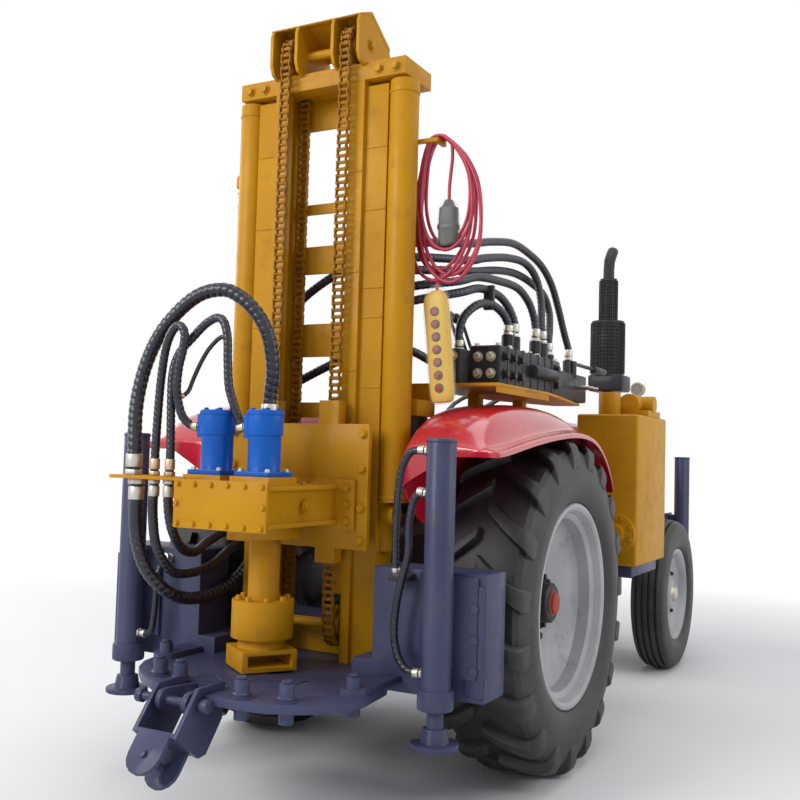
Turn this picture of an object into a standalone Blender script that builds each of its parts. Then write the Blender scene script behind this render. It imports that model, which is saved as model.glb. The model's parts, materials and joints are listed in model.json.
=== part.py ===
"""Tractor-mounted water well drilling rig.

Metres, +X right, +Y forward, +Z up.  Every place below is measured from the rear axle's
line on the floor; the empty "rig_base" then shifts the whole rig, so that the origin is
at the middle of its length.
"""
import math

import bmesh
import bpy
from mathutils import Matrix, Vector

GAP = 0.0003            # between pieces that touch
RUN = 0.006             # between pieces that move past each other
PLATE = 0.012           # common steel plate

# Tractor
WHEELBASE = 2.33
REAR_TYRE_R = 0.67
REAR_TYRE_W = 0.372
REAR_TRACK = 0.64       # half track
REAR_RIM_R = REAR_TYRE_R - 0.265
REAR_RIM_W = 0.330
RIM_LIP = 0.012
RIM_LIP_H = 0.022
LUG_H = 0.036
LUGS = 19               # a side
FRONT_TYRE_R = 0.45
FRONT_TYRE_W = 0.20
FRONT_TRACK = 0.605
FRONT_RIM_R = FRONT_TYRE_R - 0.178
FRONT_RIM_W = 0.160
KINGPIN_X = 0.465
STUB_R = 0.022
HUB_INNER = 0.115       # from the rear wheel's middle in to its hub flange
AXLE_TUBE_R = 0.095
GEARCASE_W = 0.32
GEARBOX_X = 0.14
GEARBOX_TOP = 0.90
BELL_Y = 1.08
BELL_TOP = 0.98
ENGINE_Y = (1.36, 2.48)
ENGINE_TOP = 1.30
RADIATOR_Y = (2.52, 2.59)
HOOD_Y = (1.22, 2.62)
HOOD_W = 0.56
HOOD_TOP = 1.47
HOOD_BOTTOM = BELL_TOP + GAP
NOSE_LEN = 0.20
COLUMN_R = 0.018
COLUMN_LEN = 0.40
COLUMN_PLACE = Matrix.Translation((0, 0.86, 1.50)) @ Matrix.Rotation(math.radians(35), 4, "X")
FENDER_X = (0.43, 0.80)
FENDER_SKIN = 0.008

# Frame, platform and jacks
RAIL_X = (0.21, 0.27)
FRONT_RAIL_Z = (FRONT_TYRE_R + 0.25, FRONT_TYRE_R + 0.39)
RAIL_SEAT_T = 0.05
ENGINE_BOTTOM = FRONT_RAIL_Z[0] + RAIL_SEAT_T + GAP
REAR_BEAM_X = (0.30, 0.39)
REAR_BEAM_Z = (0.43, 0.55)
FRAME_REAR = -(REAR_TYRE_R + 0.215)
OUTRIGGER_X = 0.80
OUTRIGGER_FRONT = -(REAR_TYRE_R + 0.045)
OUTRIGGER_Z = (0.455, 0.87)
PLATFORM_TOP = 0.49
PLATFORM_T = 0.028
PLATFORM_EDGE = ((-0.40, FRAME_REAR - GAP), (-0.435, -0.96), (-0.442, -1.04), (-0.42, -1.13), (-0.37, -1.21),
                 (-0.29, -1.285), (-0.18, -1.352), (-0.06, -1.387), (0.06, -1.40), (0.20, -1.402), (0.30, -1.39),
                 (0.40, -1.338), (0.47, -1.285), (0.508, -1.235), (0.512, -1.155), (0.49, -0.97),
                 (0.45, FRAME_REAR - GAP))
PEGS = ((-0.402, -1.035), (-0.225, -1.262), (-0.126, -1.275), (0.188, -1.352), (0.333, -1.318), (0.452, -1.12))
PEG_R = 0.024
PEG_H = 0.055
JACK_R = 0.049
JACK_SIDES = 20
JACK_BORE = 0.029
JACK_STROKE = 0.35
JACK_ROD_R = 0.028
JACK_TOP = 1.305
JACK_BOTTOM = 0.437
JACK_FOOT_Z = 0.322
JACK_FOOT_R = 0.079
REAR_JACK = (0.662, -0.955)
FRONT_JACK = (0.57, WHEELBASE + 0.62)
BEAM_HALF = 0.08
CLAMP_X = -0.01
CLAMP_PIN = (-1.42, 0.462)
CLAMP_LEAN = math.radians(38)   # how far it hangs to the rear
CLAMP_HALF = 0.080      # from its middle to the middle of a cheek
CLAMP_BACK = 0.034      # from the pin to the bracket's back face
CLAMP_DROP = 0.25       # from the pin to the clevis's end
CLAMP_SWEEP = 0.136     # from the pin to the cheek's farthest upper corner
CLAMP_WALL = 0.014
CLEVIS_R = 0.062

# Mast
MAST_FOOT = PLATFORM_TOP + GAP
CROWN_APEX = 2.93
MAST_TOP = CROWN_APEX - 0.275
RAIL_IN = 0.14          # inner face of the inner rail
RAIL_OUT = 0.20
PANEL_OUT = 0.295
MAST_REAR = -0.75
MAST_FRONT = -0.60
POST_X = 0.345
POST_Y = -0.695
POST_R = 0.055
POST_FOOT = 1.08
CROWN_X = 0.374
CROWN_Y = (-0.75, -0.54)
CROWN_T = 0.066
CHAIN_X = 0.135
CHAIN_W = 0.048
CHAIN_T = 0.024
CHAIN_Y = -0.785        # middle of the rear run
SPROCKET_Y = -0.715
SPROCKET_TOP_Z = CROWN_APEX - 0.13
SPROCKET_LOW_Z = 0.62
RETURN_Y = 2 * SPROCKET_Y - CHAIN_Y   # middle of the chain's front run
GROOVE_X = 0.175         # how deep the inner rail is channelled
SHAFT_R = 0.018
CROSS_PLATES = ((MAST_FOOT, 0.60), (0.98, 1.10), (1.39, 1.45), (1.63, 1.76), (1.96, 2.07), (2.20, 2.24),
                (2.54, MAST_TOP))

# Carriage and drill head
CARRIAGE_X = 0.31
CARRIAGE_Z = (0.91, 1.36)
CARRIAGE_T = 0.022
HEAD_X = 0.187
HEAD_REAR = -1.255
HEAD_Z = (1.00, 1.14)
PAD_H = 0.028
SPINDLE_Y = -1.0
SPINDLE_R = 0.055
COUPLING_R = 0.109
COUPLING_Z = (0.605, 0.735)
SLOT_BOX_Z = (0.499, 0.570)
MOTOR_X = 0.10
MOTOR_Y = -1.16
MOTOR_R = 0.055
MOTOR_TOP = 1.39
PORT_Z = 1.335          # middle of a motor's port
MOTOR_PORT = MOTOR_R + 0.012   # from a motor's middle to its port's face
SWIVEL_TOP = 1.36
HOSE_PLATE_X = -0.515
HOSE_PLATE_Y = (-1.245, -1.155)
HOSE_PLATE_Z = (HEAD_Z[1] + 0.004, HEAD_Z[1] + 0.016)

# Tank, deck, valves, exhaust
TANK_X = (0.52, REAR_TRACK + REAR_TYRE_W / 2)
TANK_Y = (0.85, 1.41)
TANK_Z = (0.75, 1.48)
DECK_Z = 1.53
DECK_T = 0.012
DECK_X = (0.26, 0.667)
DECK_Y = (-0.50, 0.845)
DECK_FRONT_X = (0.40, 0.535)
VALVE_X = (0.47, 0.60)
VALVE_TOP = DECK_Z + 0.16
STACK_X = 0.20
STACK_Y = 2.42

# Reach from the rear axle, which sets the origin's place along the rig
REACH_REAR = (CLAMP_BACK * math.cos(CLAMP_LEAN) + CLAMP_DROP * math.sin(CLAMP_LEAN)) - CLAMP_PIN[0]
REACH_FRONT = FRONT_JACK[1] + BEAM_HALF
AXLE_Y = (REACH_REAR - REACH_FRONT) / 2

COLOURS = {
    "yellow_paint": ((0.60, 0.32, 0.0), 0.42, 0.0),
    "slate_paint": ((0.07, 0.08, 0.16), 0.45, 0.0),
    "red_paint": ((0.56, 0.01, 0.03), 0.25, 0.0),
    "blue_paint": ((0.0, 0.13, 0.55), 0.35, 0.0),
    "silver_paint": ((0.40, 0.40, 0.42), 0.35, 0.3),
    "black_iron": ((0.02, 0.02, 0.025), 0.55, 0.2),
    "grey_iron": ((0.10, 0.10, 0.11), 0.6, 0.3),
    "tyre_rubber": ((0.03, 0.03, 0.032), 0.85, 0.0),
    "hose_rubber": ((0.02, 0.02, 0.03), 0.6, 0.0),
    "red_cable": ((0.42, 0.02, 0.06), 0.5, 0.0),
    "black_plastic": ((0.02, 0.02, 0.02), 0.5, 0.0),
    "yellow_plastic": ((0.80, 0.62, 0.05), 0.4, 0.0),
}


def clear_scene():
    for obj in list(bpy.data.objects):
        bpy.data.objects.remove(obj, do_unlink=True)


def new_collection(name):
    collection = bpy.data.collections.new(name)
    bpy.context.scene.collection.children.link(collection)
    return collection


def make_material(name):
    rgb, roughness, metallic = COLOURS[name]
    material = bpy.data.materials.new(name)
    material.use_nodes = True
    shader = material.node_tree.nodes["Principled BSDF"]
    shader.inputs["Base Color"].default_value = (*rgb, 1.0)
    shader.inputs["Roughness"].default_value = roughness
    shader.inputs["Metallic"].default_value = metallic
    material.diffuse_color = (*rgb, 1.0)
    return material


# Shapes. Each returns a plain mesh object whose place is in its mesh.

def as_object(bm, name):
    mesh = bpy.data.meshes.new(name)
    bmesh.ops.recalc_face_normals(bm, faces=bm.faces)
    bm.to_mesh(mesh)
    bm.free()
    obj = bpy.data.objects.new(name, mesh)
    work.objects.link(obj)
    return obj


def span(x, y, z, bevel=0.0):
    """A box given by its limits along each axis."""
    bm = bmesh.new()
    bmesh.ops.create_cube(bm, size=1.0)
    size = Vector((x[1] - x[0], y[1] - y[0], z[1] - z[0]))
    centre = Vector((sum(x), sum(y), sum(z))) / 2
    bmesh.ops.scale(bm, vec=size, verts=bm.verts)
    bmesh.ops.translate(bm, vec=centre, verts=bm.verts)
    if bevel:
        bmesh.ops.bevel(bm, geom=bm.edges[:], offset=bevel, segments=1, affect="EDGES")
    return as_object(bm, "box")


AXES = {"X": Matrix.Rotation(math.pi / 2, 4, "Y"), "Y": Matrix.Rotation(-math.pi / 2, 4, "X"),
        "Z": Matrix.Identity(4)}


def rod(radius, start, end, axis, across, sides=16, tip=None):
    """A round bar along an axis from start to end; across gives its place on the other two."""
    bm = bmesh.new()
    bmesh.ops.create_cone(bm, cap_ends=True, segments=sides, radius1=radius,
                          radius2=radius if tip is None else tip, depth=end - start)
    half = Matrix.Rotation(math.pi / sides, 4, "Z")
    bmesh.ops.transform(bm, matrix=AXES[axis] @ half, verts=bm.verts)
    middle = (start + end) / 2
    a, b = across
    centre = {"X": (middle, a, b), "Y": (a, middle, b), "Z": (a, b, middle)}[axis]
    bmesh.ops.translate(bm, vec=centre, verts=bm.verts)
    return as_object(bm, "rod")


def turned(profile, axis, centre, steps=32):
    """A closed ring: the profile's points are (along the axis, radius), spun once round."""
    bm = bmesh.new()
    verts = [bm.verts.new((radius, 0.0, along)) for along, radius in profile]
    edges = [bm.edges.new((verts[i], verts[(i + 1) % len(verts)])) for i in range(len(verts))]
    bmesh.ops.spin(bm, geom=verts + edges, cent=(0, 0, 0), axis=(0, 0, 1), angle=2 * math.pi, steps=steps)
    bmesh.ops.remove_doubles(bm, verts=bm.verts, dist=1e-5)
    bmesh.ops.transform(bm, matrix=Matrix.Translation(centre) @ AXES[axis], verts=bm.verts)
    return as_object(bm, "turned")


def sheet(outline, thickness, axis, start):
    """A flat outline given a thickness along an axis, from start upwards along that axis."""
    bm = bmesh.new()
    place = {"X": lambda a, b: (start, a, b), "Y": lambda a, b: (a, start, b), "Z": lambda a, b: (a, b, start)}
    face = bm.faces.new([bm.verts.new(place[axis](a, b)) for a, b in outline])
    side = bmesh.ops.extrude_face_region(bm, geom=[face])
    moved = [item for item in side["geom"] if isinstance(item, bmesh.types.BMVert)]
    step = {"X": (thickness, 0, 0), "Y": (0, thickness, 0), "Z": (0, 0, thickness)}[axis]
    bmesh.ops.translate(bm, vec=step, verts=moved)
    return as_object(bm, "sheet")


def arc(centre, radius, start, end, count):
    """Points on an arc, in degrees."""
    step = math.radians(end - start) / (count - 1)
    first = math.radians(start)
    return [(centre[0] + radius * math.cos(first + step * i),
             centre[1] + radius * math.sin(first + step * i)) for i in range(count)]


def smooth_route(points, spacing):
    """Evenly spaced points of a smooth curve through the route's own points."""
    ends = [2 * Vector(points[0]) - Vector(points[1])]
    ends += [Vector(p) for p in points]
    ends.append(2 * Vector(points[-1]) - Vector(points[-2]))
    fine = []
    for i in range(1, len(ends) - 2):
        a, b, c, d = ends[i - 1:i + 3]
        for step in range(16):
            t = step / 16
            fine.append(0.5 * (2 * b + (c - a) * t + (2 * a - 5 * b + 4 * c - d) * t ** 2
                               + (3 * b - a - 3 * c + d) * t ** 3))
    fine.append(ends[-2])
    runs = [0.0]
    for a, b in zip(fine, fine[1:]):
        runs.append(runs[-1] + (b - a).length)
    count = max(3, round(runs[-1] / spacing) + 1)
    even, at = [], 0
    for i in range(count):
        want = runs[-1] * i / (count - 1)
        while at < len(runs) - 2 and runs[at + 1] < want:
            at += 1
        share = (want - runs[at]) / (runs[at + 1] - runs[at])
        even.append(fine[at].lerp(fine[at + 1], share))
    return even


def tube(points, radius, sides=8, ring=False):
    """A round tube along a line of points, with filled ends or closed into a ring."""
    data = bpy.data.curves.new("tube", "CURVE")
    data.dimensions = "3D"
    spline = data.splines.new("POLY")
    spline.points.add(len(points) - 1)
    for place, point in zip(spline.points, points):
        place.co = (*point, 1.0)
    spline.use_cyclic_u = ring
    data.bevel_depth = radius
    data.bevel_resolution = (sides - 4) // 2
    data.use_fill_caps = True
    curve = bpy.data.objects.new("tube", data)
    work.objects.link(curve)
    bpy.context.view_layer.update()
    mesh = bpy.data.meshes.new_from_object(curve.evaluated_get(bpy.context.evaluated_depsgraph_get()))
    bpy.data.objects.remove(curve)
    bm = bmesh.new()
    bm.from_mesh(mesh)
    bpy.data.meshes.remove(mesh)
    bmesh.ops.remove_doubles(bm, verts=bm.verts, dist=1e-5)
    return as_object(bm, "tube")


def hose(route, diameter, sides, spacing):
    """A hose whose ends leave straight along the route's first and last steps."""
    points = smooth_route(route, spacing)
    first = (Vector(route[1]) - Vector(route[0])).normalized() * diameter * 0.5
    last = (Vector(route[-2]) - Vector(route[-1])).normalized() * diameter * 0.5
    points[1:1] = [points[0] + first]
    points[-1:-1] = [points[-1] + last]
    return tube(points, diameter / 2, sides)


def combine(base, others, operation, solver):
    """Joins others to base, or cuts them out of it, and leaves one mesh object."""
    for other in others:
        modifier = base.modifiers.new("combine", "BOOLEAN")
        modifier.operation = operation
        modifier.solver = solver
        modifier.object = other
    bpy.context.view_layer.update()
    mesh = bpy.data.meshes.new_from_object(base.evaluated_get(bpy.context.evaluated_depsgraph_get()))
    base.modifiers.clear()
    old = base.data
    base.data = mesh
    bpy.data.meshes.remove(old)
    for other in others:
        bpy.data.objects.remove(other)
    return base


def fuse(base, *others, solver="EXACT"):
    return combine(base, others, "UNION", solver)


def cut(base, *others, solver="EXACT"):
    return combine(base, others, "DIFFERENCE", solver)


def mirrored(obj):
    """A copy on the other side of the rig."""
    copy = obj.copy()
    copy.data = obj.data.copy()
    work.objects.link(copy)
    bm = bmesh.new()
    bm.from_mesh(copy.data)
    bmesh.ops.scale(bm, vec=(-1, 1, 1), verts=bm.verts)
    bmesh.ops.reverse_faces(bm, faces=bm.faces)
    bm.to_mesh(copy.data)
    bm.free()
    return copy


def turn(obj, angle, axis, centre):
    """Turns the mesh about a line through centre, in degrees."""
    move = Matrix.Translation(centre)
    obj.data.transform(move @ Matrix.Rotation(math.radians(angle), 4, axis) @ move.inverted())
    return obj


def finish(obj, name, material, pivot=(0, 0, 0), smooth=35.0):
    """Names a node, gives it its material and puts its origin at its pivot."""
    obj.name = name
    obj.data.name = name
    obj.data.transform(Matrix.Translation(-Vector(pivot)))
    obj.location = pivot
    obj.parent = base_empty
    obj.data.materials.clear()
    obj.data.materials.append(materials[material])
    obj.data.shade_smooth()
    obj.data.set_sharp_from_angle(angle=math.radians(smooth))
    work.objects.unlink(obj)
    rig.objects.link(obj)
    return obj


def pair(obj, name, material, pivot=(0, 0, 0)):
    """The right-hand piece and its mirror image."""
    left = mirrored(obj)
    finish(obj, name + "_right", material, pivot)
    finish(left, name + "_left", material, (-pivot[0], pivot[1], pivot[2]))


# Wheels

def tread_ring(radius, width, rim_radius, rim_width, steps, lug_height, twist):
    """A tyre's closed ring. Its tread's rows are turned against each other, so that every
    second face of a side is a slanting lug once it is raised."""
    half = width / 2
    body = radius - lug_height
    seat = rim_radius - RIM_LIP_H + GAP
    bead = rim_width / 2 - RIM_LIP - GAP
    rows = ((bead, seat), (bead, rim_radius + 0.003), (half * 0.97, rim_radius + 0.035),
            (half, (seat + body) / 2), (half * 0.95, body - 0.055), (half * 0.84, body - 0.012), (half * 0.09, body))
    profile = [(-along, row_radius) for along, row_radius in rows]
    profile += list(reversed(rows))
    ring = turned(profile, "Z", (0, 0, 0), steps)
    bm = bmesh.new()
    bm.from_mesh(ring.data)
    bpy.data.objects.remove(ring)
    pitch = 2 * math.pi / steps
    for vert in bm.verts:
        share = abs(vert.co.z) / half
        radial = math.hypot(vert.co.x, vert.co.y)
        if radial > body - 0.06 and share > 0.5:
            vert.co = Matrix.Rotation(twist * pitch * (share - 0.09), 3, "Z") @ vert.co
    raise_lugs(bm, half, body, pitch, twist, lug_height)
    return bm


def raise_lugs(bm, half, body, pitch, twist, lug_height):
    bm.faces.ensure_lookup_table()
    chosen = []
    for face in bm.faces:
        centre = face.calc_center_median()
        share = abs(centre.z) / half
        radial = math.hypot(centre.x, centre.y)
        if radial < body - 0.05 or share < 0.2:
            continue
        turned_by = twist * pitch * (share - 0.09)
        cell = math.floor((math.atan2(centre.y, centre.x) - turned_by) / pitch + 0.001)
        if (cell + (centre.z > 0)) % 2 == 0:
            chosen.append(face)
    result = bmesh.ops.extrude_face_region(bm, geom=chosen)
    tops = [item for item in result["geom"] if isinstance(item, bmesh.types.BMVert)]
    for vert in tops:
        radial = Vector((vert.co.x, vert.co.y, 0))
        share = abs(vert.co.z) / half
        reach = body + lug_height * (1.0 if share < 0.5 else 0.55 if share < 0.9 else 0.1)
        vert.co += radial.normalized() * (reach - radial.length)
    bmesh.ops.delete(bm, geom=chosen, context="FACES")


def rim_profile(radius, width, dish):
    """Lips and bead seat on the tyre's side, then the dish's points on the hub's side."""
    half = width / 2
    seat = radius - RIM_LIP_H
    return [(-half, radius), (-half + RIM_LIP, radius), (-half + RIM_LIP, seat), (half - RIM_LIP, seat),
            (half - RIM_LIP, radius), (half, radius), (half, seat - 0.004), *dish, (-half, seat - 0.004)]


def rear_wheels():
    hub = (REAR_TRACK, 0.0, REAR_TYRE_R)
    bm = tread_ring(REAR_TYRE_R, REAR_TYRE_W, REAR_RIM_R, REAR_RIM_W, LUGS * 2, LUG_H, 1.15)
    bmesh.ops.transform(bm, matrix=Matrix.Translation(hub) @ AXES["X"], verts=bm.verts)
    pair(as_object(bm, "tyre"), "rear_tyre", "tyre_rubber", hub)

    seat = REAR_RIM_R - RIM_LIP_H
    dish = ((REAR_RIM_W / 2 - 0.035, seat - 0.020), (0.060, seat - 0.045), (-0.01, 0.17), (-0.01, 0.05),
            (-0.024, 0.05), (-0.024, 0.185), (0.030, seat - 0.040), (-REAR_RIM_W / 2 + 0.035, seat - 0.020))
    rim = turned(rim_profile(REAR_RIM_R, REAR_RIM_W, dish), "X", hub, LUGS * 2)
    axle = rod(0.085, hub[0] - HUB_INNER, hub[0] + 0.075, "X", hub[1:], 20)
    collar = rod(0.125, hub[0] - 0.045, hub[0] + 0.012, "X", hub[1:], 20)
    cap = rod(0.062, hub[0] + 0.07, hub[0] + 0.095, "X", hub[1:], 20)
    pair(fuse(rim, axle, collar, cap, solver="MANIFOLD"), "rear_rim", "silver_paint", hub)


def front_wheels():
    hub = (FRONT_TRACK, WHEELBASE, FRONT_TYRE_R)
    seat = FRONT_RIM_R - RIM_LIP_H
    half = FRONT_TYRE_W / 2
    bead = FRONT_RIM_W / 2 - RIM_LIP - GAP
    rows = ((bead, seat + GAP), (bead, FRONT_RIM_R + 0.003), (half, FRONT_RIM_R + 0.05),
            (half * 0.93, FRONT_TYRE_R - 0.035), (half * 0.62, FRONT_TYRE_R - 0.006),
            (half * 0.36, FRONT_TYRE_R - 0.016), (half * 0.18, FRONT_TYRE_R))
    tyre = turned([*[(-along, radius) for along, radius in rows], *reversed(rows)], "X", hub, 20)
    pair(tyre, "front_tyre", "tyre_rubber", hub)

    dish = ((FRONT_RIM_W / 2 - 0.02, seat - 0.014), (0.035, seat - 0.03), (0.03, 0.10), (0.055, 0.075), (0.055, STUB_R + 0.0006),
            (-0.030, STUB_R + 0.0006), (-0.030, 0.085), (0.016, 0.115), (0.018, seat - 0.03),
            (-FRONT_RIM_W / 2 + 0.02, seat - 0.014))
    rim = turned(rim_profile(FRONT_RIM_R, FRONT_RIM_W, dish), "X", hub, 20)
    cap = rod(0.045, hub[0] + 0.045, hub[0] + 0.078, "X", hub[1:], 16, 0.034)
    pair(fuse(rim, cap), "front_rim", "silver_paint", hub)

    pin = (KINGPIN_X, WHEELBASE)
    stub = rod(STUB_R, KINGPIN_X, hub[0] + 0.040, "X", hub[1:], 16)
    knee = span((KINGPIN_X - 0.033, KINGPIN_X + 0.045), (WHEELBASE - 0.033, WHEELBASE + 0.033),
                (FRONT_TYRE_R - 0.035, FRONT_TYRE_R + 0.045))
    post = rod(0.016, FRONT_TYRE_R, AXLE_Z[1] + 0.028, "Z", pin, 16)
    arm = span((KINGPIN_X - 0.022, KINGPIN_X + 0.022), (WHEELBASE - 0.17, WHEELBASE + 0.022),
               (AXLE_Z[1] + GAP, AXLE_Z[1] + 0.022))
    pair(fuse(knee, stub, post, arm), "knuckle", "grey_iron", (*pin, FRONT_TYRE_R))


AXLE_Z = (FRONT_TYRE_R + 0.055, FRONT_TYRE_R + 0.185)


def front_axle():
    low, high = AXLE_Z
    beam = span((-KINGPIN_X + 0.02, KINGPIN_X - 0.02), (WHEELBASE - 0.04, WHEELBASE + 0.04),
                (low + 0.02, high - 0.015))
    bosses = [rod(0.036, low, high, "Z", (side * KINGPIN_X, WHEELBASE), 18) for side in (-1, 1)]
    bores = [rod(0.0172, low - 0.02, high + 0.02, "Z", (side * KINGPIN_X, WHEELBASE), 16) for side in (-1, 1)]
    pivot = span((-0.08, 0.08), (WHEELBASE - 0.07, WHEELBASE + 0.07), (low + 0.03, FRONT_RAIL_Z[0] - GAP))
    tie = rod(0.012, -KINGPIN_X + 0.09, KINGPIN_X - 0.09, "X", (WHEELBASE - 0.058, low + 0.06), 10)
    finish(cut(fuse(beam, pivot, tie, *bosses), *bores), "front_axle", "grey_iron")


# Tractor body

def gearcase():
    half = GEARCASE_W / 2
    rear = span((-half, half), (-0.24, 0.32), (0.50, 0.95), 0.03)
    middle = span((-GEARBOX_X, GEARBOX_X), (0.28, 1.12), (0.54, GEARBOX_TOP), 0.02)
    bell = span((-0.20, 0.20), (BELL_Y, ENGINE_Y[0] - GAP), (0.52, BELL_TOP), 0.03)
    tubes = rod(AXLE_TUBE_R, -REAR_TRACK + HUB_INNER + GAP, REAR_TRACK - HUB_INNER - GAP, "X", (0.0, REAR_TYRE_R), 20)
    ends = [rod(0.125, side * 0.46 - 0.03, side * 0.46 + 0.03, "X", (0.0, REAR_TYRE_R), 20) for side in (-1, 1)]
    lid = span((-0.10, 0.10), (-0.18, 0.24), (0.94, 1.00), 0.01)
    finish(fuse(rear, middle, bell, tubes, lid, *ends), "gearcase", "grey_iron")
    engine = span((-RAIL_X[0] + GAP, RAIL_X[0] - GAP), ENGINE_Y, (ENGINE_BOTTOM, ENGINE_TOP))
    finish(engine, "engine_block", "grey_iron")
    radiator = span((-HOOD_W / 2 + 0.04, HOOD_W / 2 - 0.04), RADIATOR_Y, (FRONT_RAIL_Z[1] + GAP, 1.36))
    finish(radiator, "radiator", "black_iron")


def hood_section(half, low, high, corner, wall):
    """The hood's cross section: an arch with rounded shoulders and a wall's thickness."""
    outer = [(half, low), *arc((half - corner, high - corner), corner, 0, 90, 5),
             *arc((-half + corner, high - corner), corner, 90, 180, 5), (-half, low)]
    inside, roof, turn_in = half - wall, high - wall, corner - wall
    inner = [(-inside, low), *arc((-inside + turn_in, roof - turn_in), turn_in, 180, 90, 5),
             *arc((inside - turn_in, roof - turn_in), turn_in, 90, 0, 5), (inside, low)]
    return outer + inner


def bonnet():
    half = HOOD_W / 2
    shell = sheet(hood_section(half, HOOD_BOTTOM, HOOD_TOP, 0.09, 0.010), HOOD_Y[1] - HOOD_Y[0], "Y", HOOD_Y[0])
    bulkhead = span((-half + 0.006, half - 0.006), (HOOD_Y[0] + 0.004, HOOD_Y[0] + 0.016),
                    (HOOD_BOTTOM, HOOD_TOP - 0.006))
    dash = sheet([(HOOD_Y[0] - 0.16, 1.18), (HOOD_Y[0] - 0.02, HOOD_TOP + 0.0), (HOOD_Y[0] + 0.012, HOOD_TOP - 0.02),
                  (HOOD_Y[0] + 0.012, HOOD_BOTTOM), (HOOD_Y[0] - 0.10, HOOD_BOTTOM)], 0.36, "X", -0.18)
    column_hole = rod(COLUMN_R + GAP, -COLUMN_LEN - 0.01, 0.0, "Z", (0, 0), 12)
    column_hole.data.transform(COLUMN_PLACE)
    stack_hole = rod(0.048, HOOD_TOP - 0.05, HOOD_TOP + 0.05, "Z", (STACK_X, STACK_Y), 20)
    finish(cut(fuse(shell, bulkhead, dash), stack_hole, column_hole), "hood", "red_paint")

    low, front = FRONT_RAIL_Z[1] + GAP, HOOD_Y[1] + NOSE_LEN
    box = span((-half, half), (HOOD_Y[1] + GAP, front), (low, HOOD_TOP), 0.03)
    hollow = span((-half + 0.02, half - 0.02), (HOOD_Y[1] - 0.05, front - 0.02), (low + 0.02, HOOD_TOP - 0.02))
    window = span((-half + 0.07, half - 0.07), (front - 0.08, front + 0.05), (low + 0.08, HOOD_TOP - 0.10))
    nose = cut(box, hollow, window)
    slats = [span((-half + 0.06, half - 0.06), (front - 0.024, front - 0.012), (z, z + 0.018))
             for z in [low + 0.12 + 0.083 * i for i in range(5)]]
    post = span((-0.012, 0.012), (front - 0.026, front - 0.010), (low + 0.07, HOOD_TOP - 0.09))
    lamps = [rod(0.052, front - 0.05, front + 0.012, "Y", (side * 0.20, HOOD_TOP - 0.06), 18) for side in (-1, 1)]
    finish(fuse(nose, post, *slats, *lamps), "nose_grille", "red_paint")


def fender():
    """Stations along the fender: place along Y, crown height, lip height, foot of the inner wall."""
    stations = ((-0.80, 1.285, 1.270, 1.15), (-0.70, 1.385, 1.278, 1.02), (-0.50, 1.445, 1.312, 0.96),
                (-0.20, 1.465, 1.348, 0.93), (0.05, 1.455, 1.365, 0.93), (0.24, 1.420, 1.355, 0.96),
                (0.38, 1.355, 1.305, 1.00), (0.50, 1.240, 1.210, 1.04), (0.55, 1.14, 1.125, 1.08))
    bm = bmesh.new()
    inner, outer = FENDER_X
    rows = []
    for y, crown, lip, foot in stations:
        step = (crown - lip) * 0.45
        line = ((inner, foot), (inner, crown - 0.035), (inner + 0.035, crown), (outer - 0.13, crown),
                (outer - 0.075, crown - step), (outer - 0.055, lip + 0.015), (outer, lip), (outer, lip - 0.020))
        rows.append([bm.verts.new((x, y, z)) for x, z in line])
    for a, b in zip(rows, rows[1:]):
        for i in range(len(a) - 1):
            bm.faces.new((a[i], a[i + 1], b[i + 1], b[i]))
    skin = as_object(bm, "fender")
    solid = skin.modifiers.new("skin", "SOLIDIFY")
    solid.thickness = FENDER_SKIN
    solid.offset = 0
    solid.use_even_offset = True
    fuse(skin)
    pair(skin, "fender", "red_paint")


def driver_place():
    edge = FENDER_X[0] - FENDER_SKIN / 2 - GAP
    floor = span((-edge, edge), (0.34, BELL_Y - 0.02), (GEARBOX_TOP + GAP, GEARBOX_TOP + 0.020))
    risers = [span(both(side, edge - 0.04, edge), (-0.12, BELL_Y - 0.02), (GEARBOX_TOP + GAP, 1.04)) for side in (-1, 1)]
    finish(fuse(floor, *risers), "floor_plate", "black_iron")

    pan = span((-0.21, 0.21), (-0.10, 0.30), (1.13, 1.20), 0.025)
    back = turn(span((-0.20, 0.20), (-0.16, -0.09), (1.15, 1.48), 0.025), 8, "X", (0, -0.10, 1.15))
    stand = span((-0.09, 0.09), (-0.05, 0.22), (1.00 + GAP, 1.16), 0.01)
    finish(fuse(pan, back, stand), "seat", "black_plastic")

    ring = turned([(0.012 * math.cos(a), 0.19 + 0.012 * math.sin(a))
                   for a in [2 * math.pi * i / 6 for i in range(6)]], "Z", (0, 0, 0), 20)
    spokes = [turn(span((-0.19, 0.19), (-0.012, 0.012), (-0.006, 0.006)), angle, "Z", (0, 0, 0))
              for angle in (0, 60, 120)]
    column = rod(COLUMN_R, -COLUMN_LEN, 0.012, "Z", (0, 0), 12)
    wheel = fuse(ring, column, *spokes)
    wheel.data.transform(COLUMN_PLACE)
    finish(wheel, "steering_wheel", "black_plastic", COLUMN_PLACE.translation)


def exhaust():
    pipe = tube([(STACK_X, STACK_Y, ENGINE_TOP + GAP), (STACK_X, STACK_Y, 2.50), (STACK_X, STACK_Y + 0.012, 2.56),
                 (STACK_X, STACK_Y + 0.045, 2.60), (STACK_X, STACK_Y + 0.085, 2.64)], 0.036, 12)
    upper = rod(0.055, 2.15, 2.44, "Z", (STACK_X, STACK_Y), 20)
    lower = rod(0.105, 1.80, 2.16, "Z", (STACK_X, STACK_Y), 24)
    foot = span((STACK_X - 0.10, STACK_X + 0.13), (STACK_Y - 0.10, STACK_Y + 0.09), (1.70, 1.805), 0.01)
    finish(fuse(lower, upper, pipe, foot), "exhaust_stack", "black_iron")


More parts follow.
